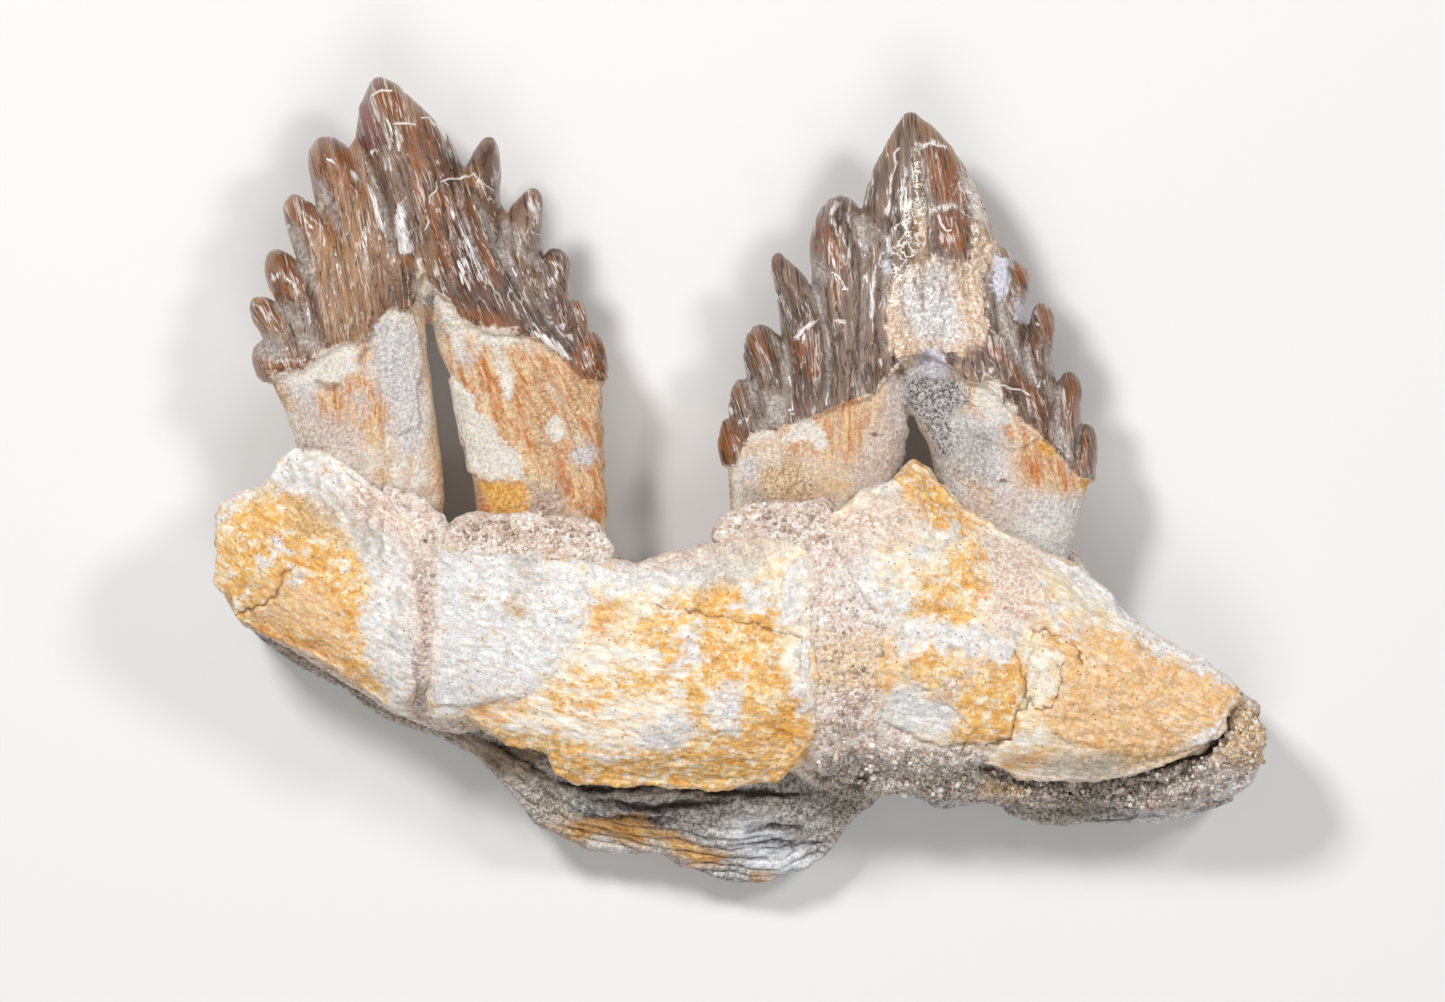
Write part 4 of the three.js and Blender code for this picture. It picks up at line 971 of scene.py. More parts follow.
def enamel_colour(tree, place, fibre_place, ribs, crack):
    """Wide streaks, then stained zones, then ribs of half a millimetre, painted lighter on their crests and darker
    between them, with pale lines of dust and painted glints.
    """
    tint = two_toned(tree, mottle(tree, fibre_place, 2.6, 2, 7, 0.6), 0.18, "#6C3E16", "#B48454")
    tint = layered(tree, place, fibre_place, tint, [
        (-1.0, "#5E4632", "#94785F", 9, 1.8, -3.0, 0.55),
        ("mauve", "#4E3C30", "#9C8371", 9, 2.8, -2.0, 0.86),
        ("brown", "#3A1C06", "#6E4018", 8, 2.4, -2.0, 0.88),
        # Dark streaks, mostly painted shade along the grooves between the ribs.
        ("dark", "#2C211B", "#5E4F44", 5, 1.2, -1.0, 0.7),
        ("red", "#58241F", "#A06A62", 3, 0.9, -1.8, 0.92),
        ("tan", "#7C4C22", "#C29668", 9, 2.6, -1.8, 0.75),
        ("amber", "#5A2600", "#A45C06", 4.4, 1.0, -1.8, 0.96),
    ], 0.22)
    # The mottle that raises the ribs also paints them lighter on the crests and darker between: painted light and
    # shade.
    tint = shaded(tree, tint, ribs, 0.72, 1.24)
    # Thin pale lines along the ribs: partly dust, partly painted glints.
    dust_and_glints = add_node(tree, "MapRange", {0: mottle(tree, place, 8, 5, 5), 1: 0.42, 2: 0.58, 3: 0.1, 4: 0.8})
    pale = thin_lines(tree, mottle(tree, fibre_place, 1.2, 6, 3, 0.5), 0.022)
    pale = add_node(tree, "Math", {0: pale, 1: dust_and_glints}, operation="MULTIPLY")
    dark = thin_lines(tree, mottle(tree, fibre_place, 1.6, 7, 3, 0.5), 0.024, 0.75)
    tint = coated(tree, tint, (pale, "#E2D2C4"), (dark, "#24140C"))
    tint = layered(tree, place, fibre_place, tint, [
        ("hollow", "#665850", "#C4B8B0", 4, 1.0, 0.9, 0.55),
        ("dust", "#887A70", "#D6CEC6", 6, 1.0, 1.2, 0.85),
        # Sparse white streaks along the fibres: partly white mineral, partly painted glints.
        (-1.9, "#C8BAB0", "#F2EAE2", 9, 0.25, -0.4, 0.6),
        ("cream", "#DCC8AC", "#FAF2E6", 7, 0.6, 1.6, 0.85),
        # Crust lines: partly lime, and partly painted glints along the crests of the ribs.
        (("crust_and_glint", 0.3), "#CFC2B8", "#FFFFFF", 5, 0.16, -0.35, 0.9),
        ("peach", "#CBA078", "#FFF0DC", 8, 0.6, 1.6, 0.92),
        ("lime", "#ABA5A2", "#FFFFFF", 16, 1.4, 1.1, 0.85),
        (("peach", -0.6), "#5E3A1E", "#A07850", 9, 0.5, -1.8, 0.85),
        ("bluish", "#B9B8C4", "#EDEDF6", 6, 0.5, 1.4, 0.92),
        ("sandy", "#3A3032", "#E8E2E0", 8, 0.5, 0.7, 0.97),
    ])
    # Lime has run into a lace of half a millimetre threads, and grit sits in its pores.
    threads = thin_lines(tree, mottle(tree, place, 2.2, 8, 5, 0.6), 0.05)
    pores = add_node(tree, "MapRange", {0: mottle(tree, place, 0.9, 9, 6, 0.75), 1: 0.56, 2: 0.64})
    veins = thin_lines(tree, mottle(tree, place, 3.0, 8, 4), 0.03)
    hairline = add_node(tree, "MapRange", {0: crack, 1: -0.02, 2: 0.1, 3: 0.0, 4: 0.8})
    return coated(
        tree, tint,
        (within(tree, threads, "lace", -0.5, 0.8), "#F8F0E0"),
        (within(tree, pores, "peach", -1.0, 1.0, 0.7), "#7E6650"),
        (within(tree, veins, "veins", 0, 1.5), "#F6EEDE"),
        (hairline, "#F4ECE4"))


# %% [markdown]
# Dentine lies under the enamel and makes the roots. It is the same mineral, but porous, so it is matt
# and took up stain: cream at first, then soft orange iron, cool lime, and grit that still clings.

# %% Dentine
DENTINE_ROUGHNESS = 0.82


def dentine_colour(tree, place, fibre_place, crack):
    tint = two_toned(tree, mottle(tree, place, 6, 11, 9, 0.68), 0.12, "#EBC798", "#FFF8EC")
    tint = layered(tree, place, fibre_place, tint, [
        ("orange", "#DA8032", "#FFE0B0", 13, 2.4, -2.0, 0.96),
        (-0.9, "#F0DAC0", "#FFFBF4", 14, 1.2, -2.0, 0.7),
        (-1.4, "#C98A58", "#EBC49A", 14, 1.0, -1.6, 0.6),
        ("cream", "#FFEFD6", "#FFFFFC", 7, 0.5, 1.6, 0.97),
        ("yellow", "#E8962A", "#FFD680", 7, 0.9, 1.6, 0.95),
        ("bluish", "#D0C6C4", "#FCFAFA", 11, 1.8, 2, 0.9),
        ("rosy", "#D2B4A2", "#F8EAE2", 11, 1.8, 2, 0.85),
        ("grit", "#B0783C", "#FCE4C0", 13, 1.6, 0.9, 0.85),
        ("grey", "#7E766E", "#E6E0DA", 14, 2.0, 1.6, 0.62),
        ("chalk", "#E2D6CC", "#FFFCF8", 13, 1.8, 2.0, 0.95),
        ("sandy", "#1C1416", "#E6DEDC", 12, 0.8, 0.6, 0.95),
        ("lilac", "#BDB6C2", "#EEEAF2", 5, 0.9, 1.6, 0.9),
        ("spot", "#6A4638", "#A07868", 2, 0.6, 0.9, 0.85),
    ])
    tint = shaded(tree, tint, mottle(tree, place, 0.8, 12, 5, 0.8), 0.5, 1.42)
    dirty = add_node(tree, "MapRange", {0: crack, 1: 0.0, 2: 0.15, 3: 0.0, 4: 0.8})
    return coated(tree, tint, (specks(tree, place, 2.0, 0.26, 0.35, 0.6), "#6A4A34"), (dirty, "#7A5638"))


# %% [markdown]
# Enamel and dentine could be two materials with a hard border, but the real cap ends in a nibbled edge.
# So one shader carries both, and every input is mixed by the stored height above the enamel line. Pale
# crust and dust are rough, and the clean brown ribs are polished.

# %% Teeth
LACQUER_WEIGHT = 0.5
LACQUER_ROUGHNESS = 0.16


def tooth_material():
    material, tree, shader = new_material("fossil enamel over root dentine")
    place = millimetre_place(tree)
    fibre_place = along_fibres(tree, place, 9)
    ribs = mottle(tree, fibre_place, 0.6, 1, 5, 0.6)
    crack = add_node(tree, "Attribute", {}, "Fac", attribute_name="crack")
    above = add_node(tree, "Attribute", {}, "Fac", attribute_name="enamel")
    # The cap's edge is nibbled by a mottle of about a millimetre.
    nibble = mottle(tree, place, 0.8, 13, 5)
    nibbled = add_node(tree, "Math", {0: nibble, 1: 2.2, 2: above}, operation="MULTIPLY_ADD")
    cap = add_node(tree, "MapRange", {0: nibbled, 1: 0.95, 2: 1.25})
    enamel_tint = enamel_colour(tree, place, fibre_place, ribs, crack)
    tint = coated(tree, dentine_colour(tree, place, fibre_place, crack), (cap, enamel_tint))
    lightness = add_node(tree, "RGBToBW", {0: tint})
    gloss = add_node(tree, "MapRange", {0: lightness, 1: 0.12, 2: 0.5, 3: 0.24, 4: 0.8})
    dull = add_node(tree, "Mix", {0: cap, 2: DENTINE_ROUGHNESS, 3: gloss})
    tree.links.new(dull, shader.inputs["Roughness"])
    shader.inputs["IOR"].default_value = APATITE_INDEX
    # The sharp glints on the crown are those of a clear film, such as a lacquer on old enamel.
    film = add_node(tree, "Math", {0: cap, 1: LACQUER_WEIGHT}, operation="MULTIPLY")
    tree.links.new(film, shader.inputs["Coat Weight"])
    shader.inputs["Coat Roughness"].default_value = LACQUER_ROUGHNESS
    pits = mottle(tree, place, 0.9, 14, 6, 0.75)
    wrinkles = add_node(tree, "Mix", {0: 0.3, 2: ribs, 3: pits})
    low_wrinkles = add_node(tree, "Math", {0: wrinkles, 1: 0.7}, operation="MULTIPLY")
    height = add_node(tree, "Mix", {0: cap, 2: pits, 3: low_wrinkles})
    return finish_surface(material, tint, height, 0.8)


# %% [markdown]
# Where the stains of the teeth lie. The larger patches follow the photo: amber windows over the cusps,
# mauve and brown flanks, crusts and painted glints along the ribs, painted shade in the grooves, orange
# iron on the roots. What happens inside a patch is noise. Narrow bands, given by a width and a line,
# follow single ribs and grooves.

# %% Patches on the left tooth
left_marks = {
    "tan": [[(-92, 58), (-84, 62), (-80, 54), (-79, 42), (-82, 34), (-90, 33), (-94, 46)]],
    "brown": [
        [(-58, 73), (-53, 76), (-52, 64), (-56, 62)], [(-71, 80), (-66, 78), (-61, 70), (-62, 62), (-68, 64)],
        [(-64, 58), (-54, 60), (-47, 44), (-52, 38), (-62, 42)], [(-76, 46), (-70, 46), (-71, 39), (-77, 38)],
        (4, [(-58, 67), (-56.6, 58), (-53.6, 48), (-50, 40)]), (5, [(-42, 44), (-38, 34), (-34, 27)]),
        [(-65, 48), (-61, 43), (-52, 42), (-44, 34), (-48, 32), (-60, 36), (-67, 43)],
    ],
    "amber": [
        [(-78.5, 85.5), (-76.5, 86), (-74.6, 85.4), (-72.5, 82.5), (-70, 80), (-69, 78), (-69.4, 72), (-68.4, 68),
         (-68.6, 62), (-69.4, 60.4), (-70.6, 64.5), (-72, 70.5), (-73.5, 74.5), (-75, 79), (-77, 81.5)],
        [(-68.6, 62), (-67.6, 60), (-65.5, 56), (-64, 52.4), (-62.5, 52), (-61.5, 48), (-62, 44.6), (-65.5, 48.5),
         (-67.8, 50), (-66.2, 53), (-67.6, 57)],
        (1.8, [(-69.4, 79.4), (-66.6, 78.4), (-64.6, 76.6), (-64.4, 73)]), (2, [(-68.6, 77), (-66.4, 72), (-65, 67)]),
        (1.8, [(-58.4, 56), (-56, 52), (-53.6, 46), (-52, 42)]), (1.4, [(-61, 64), (-59, 59), (-57, 54)]),
        (1.4, [(-66, 64), (-64.4, 59), (-63, 55)]),
        [(-60.5, 37.6), (-57, 38), (-52, 37), (-49.5, 34.6), (-47, 33.4), (-52, 32.7), (-56, 33.5), (-59, 35.5)],
        [(-94, 71.5), (-92.4, 72.5), (-90.6, 70), (-89.4, 66), (-87.6, 62), (-87, 60.2), (-88.2, 60.8), (-90, 64),
         (-91.4, 66.5), (-93.2, 68)],
        [(-90.6, 74), (-88.6, 73.4), (-84.6, 70), (-82, 67.4), (-81.8, 65.6), (-84.4, 67.4), (-87.6, 70.6),
         (-89.8, 72.6)],
        (2.2, [(-88.4, 68), (-86, 65), (-83.6, 61.6)]),
        [(-98.8, 62.6), (-99.8, 58.5), (-98.6, 57.2), (-97.4, 56.6), (-95.2, 52.6), (-94.4, 53.4), (-95.2, 56),
         (-97, 59.6)],
        (2.6, [(-97.8, 62), (-95, 60.4), (-91.6, 57.2), (-88.4, 54.4)]),
        [(-103.6, 49.4), (-103.8, 45.5), (-102.4, 42), (-100.4, 40.6), (-97.4, 40.6), (-99.6, 43.4), (-101.4, 45.6),
         (-102.4, 48)],
        (2, [(-102, 49.8), (-99.6, 48), (-97.6, 45.6), (-94.6, 43.6)]),
        [(-107.4, 39.8), (-107, 37), (-105.6, 34.6), (-103.6, 33), (-102, 33.2), (-104, 36), (-105.6, 38.6)],
        (2, [(-105.4, 39.4), (-103, 37.4), (-100.2, 35)]),
        (2.8, [(-105.4, 23.4), (-101, 24.4), (-97, 25.4), (-93, 26.4)]),
        (2.4, [(-103, 28), (-106.6, 27), (-106, 23)]),
        [(-35, 32), (-32.6, 33), (-30, 31), (-29, 27), (-29, 23), (-31.4, 22.4), (-34, 23.4), (-36, 26), (-35.4, 30)],
        (1.6, [(-36, 39.6), (-34, 38), (-33.6, 35)]), [(-73, 50.4), (-71, 50.4), (-71, 47.5), (-73.6, 47)],
        (1.2, [(-44.6, 63), (-44.4, 56)]),
    ],
    "red": [
        [(-81.8, 86.5), (-80.4, 89), (-78.4, 88.8), (-78.4, 86.4), (-80, 84.6), (-79.6, 82), (-78.6, 79), (-78, 74),
         (-79.4, 72.6), (-81.6, 71.4), (-82.6, 73.6), (-84.4, 75), (-83.8, 80), (-82.8, 84)],
        (1.2, [(-92, 75), (-88.6, 75.2), (-86, 74)]),
    ],
    "mauve": [
        [(-78.4, 79), (-77, 78), (-73.6, 72.6), (-71, 65.6), (-68.8, 59), (-68, 51), (-70.6, 50), (-73, 46),
         (-76.4, 50), (-77, 60), (-79.6, 70)],
        [(-54.5, 75.5), (-52.4, 62), (-50, 56), (-44, 56), (-43.4, 64), (-47, 62), (-51, 60), (-55, 62), (-57, 72)],
        [(-52, 58), (-43, 56), (-42, 50), (-37.6, 48), (-37, 40), (-34, 34), (-36, 30), (-42, 38), (-47, 46),
         (-52, 52)],
        (4, [(-68, 76), (-63.4, 70), (-61, 66)]), [(-100, 38), (-90, 42), (-90, 30), (-98, 28)],
        (3, [(-60, 42), (-55, 42), (-52, 38)]), [(-50, 52), (-44, 48), (-38, 40), (-34, 34), (-46, 34), (-54, 42)],
    ],
    # Dark bands, mostly painted shade along the grooves between the ribs.
    "dark": [
        (5, [(-62, 60), (-58, 52), (-52, 44), (-46, 38)]),
        (2.6, [(-79.8, 70), (-78.4, 66), (-77.4, 61), (-76.6, 55), (-75, 50.6)]), (2, [(-77.8, 87.6), (-76, 87)]),
        (3.4, [(-57, 58), (-54, 52), (-51.5, 46), (-47, 41)]), (3.4, [(-51, 40), (-46, 36), (-42, 34), (-37, 29)]),
        (1.6, [(-85.4, 54), (-84.6, 46), (-84, 38), (-83.4, 33)]), (1.4, [(-80.8, 46), (-80, 42)]),
        (2, [(-66, 74), (-63.4, 69)]), (2, [(-61, 66), (-59, 60)]), (1.2, [(-66.6, 72), (-65, 67.4)]),
        (1.6, [(-92.6, 40), (-92, 34)]),
    ],
    "dust": [
        [(-94, 62), (-91.6, 61), (-89.4, 60.6), (-87.6, 57.4), (-88, 56.2), (-90.2, 58.8), (-93, 60.6)],
        [(-92.6, 66), (-91, 66), (-89, 62), (-87.4, 58.6), (-92, 61)],
        [(-98.6, 56), (-97, 56), (-95, 52), (-93.4, 48), (-92, 42), (-92.6, 42), (-97, 47), (-97.4, 51.8)],
        [(-103, 39.8), (-100, 39.8), (-96.6, 37), (-95, 35), (-96.6, 34), (-100, 37)],
        [(-106.6, 30), (-104, 32), (-101, 32), (-99.6, 29), (-99.6, 26.8), (-104, 26), (-106.6, 28)],
        (2.4, [(-52, 57), (-49.6, 55), (-48, 51)]), (2.4, [(-46, 50), (-44, 48)]),
        (1.8, [(-56, 60), (-53, 52), (-50, 48)]), (2.4, [(-97, 31), (-92, 29.6)]),
        [(-69.8, 46), (-68.4, 44), (-66, 37), (-69, 38), (-71, 42)],
    ],
    # The thin crust bands are partly lime and partly painted glints on the rib edges.
    "crust_and_glint": [
        [(-74.6, 61.5), (-73.4, 62), (-72.8, 59), (-71.2, 52), (-71, 50.4), (-74, 50.4), (-75, 54), (-75.2, 58)],
        (0.9, [(-80.3, 84.8), (-79.6, 81.6), (-78.2, 78.6)]), (1.0, [(-78, 79), (-76.4, 76), (-75.8, 73)]),
        (0.8, [(-76.6, 79), (-74.6, 76), (-73.6, 71.6)]), (0.5, [(-77.4, 75), (-76.4, 71), (-75, 67.6)]),
        (0.9, [(-81, 72), (-79.6, 72.8), (-78, 71.4), (-76.6, 68.6)]),
        (1.2, [(-86.2, 68.2), (-84.4, 66.6), (-82.4, 64.4)]),
        (1.4, [(-81.2, 64.8), (-79.6, 61.4), (-79, 58), (-77.2, 54.6)]), (0.6, [(-82.8, 56), (-82, 50), (-81.2, 45)]),
        (0.5, [(-98.2, 61.6), (-96, 58.6), (-93, 56.4), (-89.6, 53.6)]), (0.4, [(-97, 60), (-94.6, 57.4), (-89, 54)]),
        (0.6, [(-100.6, 45.6), (-98.6, 43.6), (-95.6, 40.6)]), (0.4, [(-100, 46.4), (-97, 43.8), (-93.6, 41.4)]),
        (0.9, [(-102.2, 44.4), (-101, 45.6), (-99.8, 45.6)]), (0.5, [(-106.4, 39), (-104, 36.4), (-101.4, 34.4)]),
        (0.4, [(-105.2, 38.8), (-101, 34)]), (1.0, [(-99.2, 57), (-98, 56)]),
        (0.7, [(-64.6, 62.6), (-62.4, 58.6), (-60.2, 55)]),
        (0.8, [(-62.6, 58.4), (-60, 54.4), (-58, 50), (-56.2, 45.6)]),
        (0.6, [(-61.6, 56), (-59.4, 51), (-56.8, 45.6)]), (0.9, [(-60.6, 50), (-59.4, 46), (-58.6, 42.4)]),
        (0.9, [(-61.2, 48), (-60.6, 45), (-59.8, 43)]), (0.6, [(-57.6, 47.4), (-55.8, 43)]),
        (1.1, [(-65.2, 52.8), (-64, 50.8)]), (0.8, [(-45.2, 63.8), (-45, 60), (-45.2, 55.6)]),
        (0.8, [(-43.4, 48.2), (-41.6, 49.2), (-39.8, 47)]), (0.8, [(-40, 47), (-41.4, 43.2)]),
        (0.6, [(-35.2, 37.8), (-36, 36.2)]), (1.6, [(-44.8, 33.6), (-41.4, 31), (-38.6, 28.6), (-36.4, 26.4)]),
        (0.6, [(-67.8, 48.6), (-65.6, 44.6), (-63.4, 41)]), (0.7, [(-70.6, 63.8), (-69, 59.4)]),
        (0.7, [(-69.4, 49.6), (-70, 46), (-69.6, 42)]), (0.6, [(-67, 79), (-65.8, 78), (-63.6, 75), (-62, 72.6)]),
        (0.5, [(-104, 26), (-99, 26.6), (-94.6, 27)]),
    ],
    "cream": [
        (1.6, [(-92.8, 61.4), (-91.2, 61)]), (1.6, [(-94.8, 47), (-94, 46)]),
        [(-103, 23.4), (-96, 25), (-89, 29.6), (-83, 30.6), (-84, 24), (-92, 20), (-99, 18)],
        [(-78.8, 35.4), (-77.6, 37.2), (-73.4, 38), (-72.8, 36.6), (-75, 35.8), (-76.6, 33.6), (-78.4, 34)],
        [(-59, 33.4), (-54, 34), (-49, 33), (-48.6, 31), (-53, 29), (-57, 31)],
        left_flakes[0], (3, [(-66, 40), (-63, 34), (-60, 26)]), (2.4, [(-54, 30), (-51.6, 24), (-50, 18)]),
        (4, [(-40, 15), (-40, 9)]), (5, [(-100, 12), (-97, 0), (-96, -8)]),
    ],
    "bluish": [
        [(-80, 34), (-78, 35.4), (-73, 36.4), (-70.4, 36), (-69.6, 26), (-68.4, 10), (-73, 5), (-77, 14),
         (-80.5, 24)],
        (4, [(-96.5, 21), (-94, 14)]), (3, [(-95, 11), (-92, 11)]), (3, [(-89, 10), (-86, 9.6)]),
        (6, [(-34, 8), (-33.5, 4)]), (3, [(-60, 29), (-59, 26)]), (2.4, [(-83, 20), (-82, 14)]),
    ],
    "orange": [
        [(-66, 34), (-60, 30), (-45, 31), (-30, 24), (-26, 0), (-28, -16), (-62, -12), (-58, 4), (-66, 26)],
        [(-84, 24), (-78, 22), (-74, 14), (-78, 9), (-90, 12), (-102, 20), (-96, 18)],
        (3, [(-67, 14), (-66, 4), (-66, -6)]), (2, [(-81.6, 32), (-82.6, 27), (-83, 20)]),
        (2.6, [(-91, 26), (-87, 22)]), (1.4, [(-69.4, 36), (-68.2, 26), (-67, 14)]),
    ],
    "grit": [
        (2.4, [(-43, 26), (-43.4, 12), (-42, 4)]), (2.2, [(-35, 24), (-36, 10)]),
        [(-103, 22), (-99.4, 22), (-99, 17), (-101, 15)],
    ],
    "grey": [
        [(-46, 0), (-38, 0), (-38, -8), (-45, -8)], (6, [(-96, -2), (-80, -4), (-66, -8)]),
        (3, [(-66, 37), (-65, 32)]),
    ],
    "yellow": [[(-57, 0.5), (-46.5, 0.5), (-46.5, -9), (-50, -8), (-55, -6)], (2.4, [(-78, 15.5), (-72, 13)])],
    "chalk": [[(-104, 8), (-90, 6), (-78, -2), (-70, -8), (-66, -20), (-110, -20)]],
    "lime": [],
    "veins": [],
    "peach": [],
    "lace": [],
    "lilac": [],
    "rosy": [[(-96, 16), (-84, 14), (-82, 2), (-96, 4)]],
    "sandy": [(2.6, [(-69.2, 41), (-67.6, 38.6)])],
    "spot": [(1, [(-93, 22.4), (-90, 20.8), (-87, 21.6)]), (0.8, [(-83.4, 26), (-81.6, 28.8), (-80, 29.6)])],
}
print("kinds of patch:", len(left_marks))

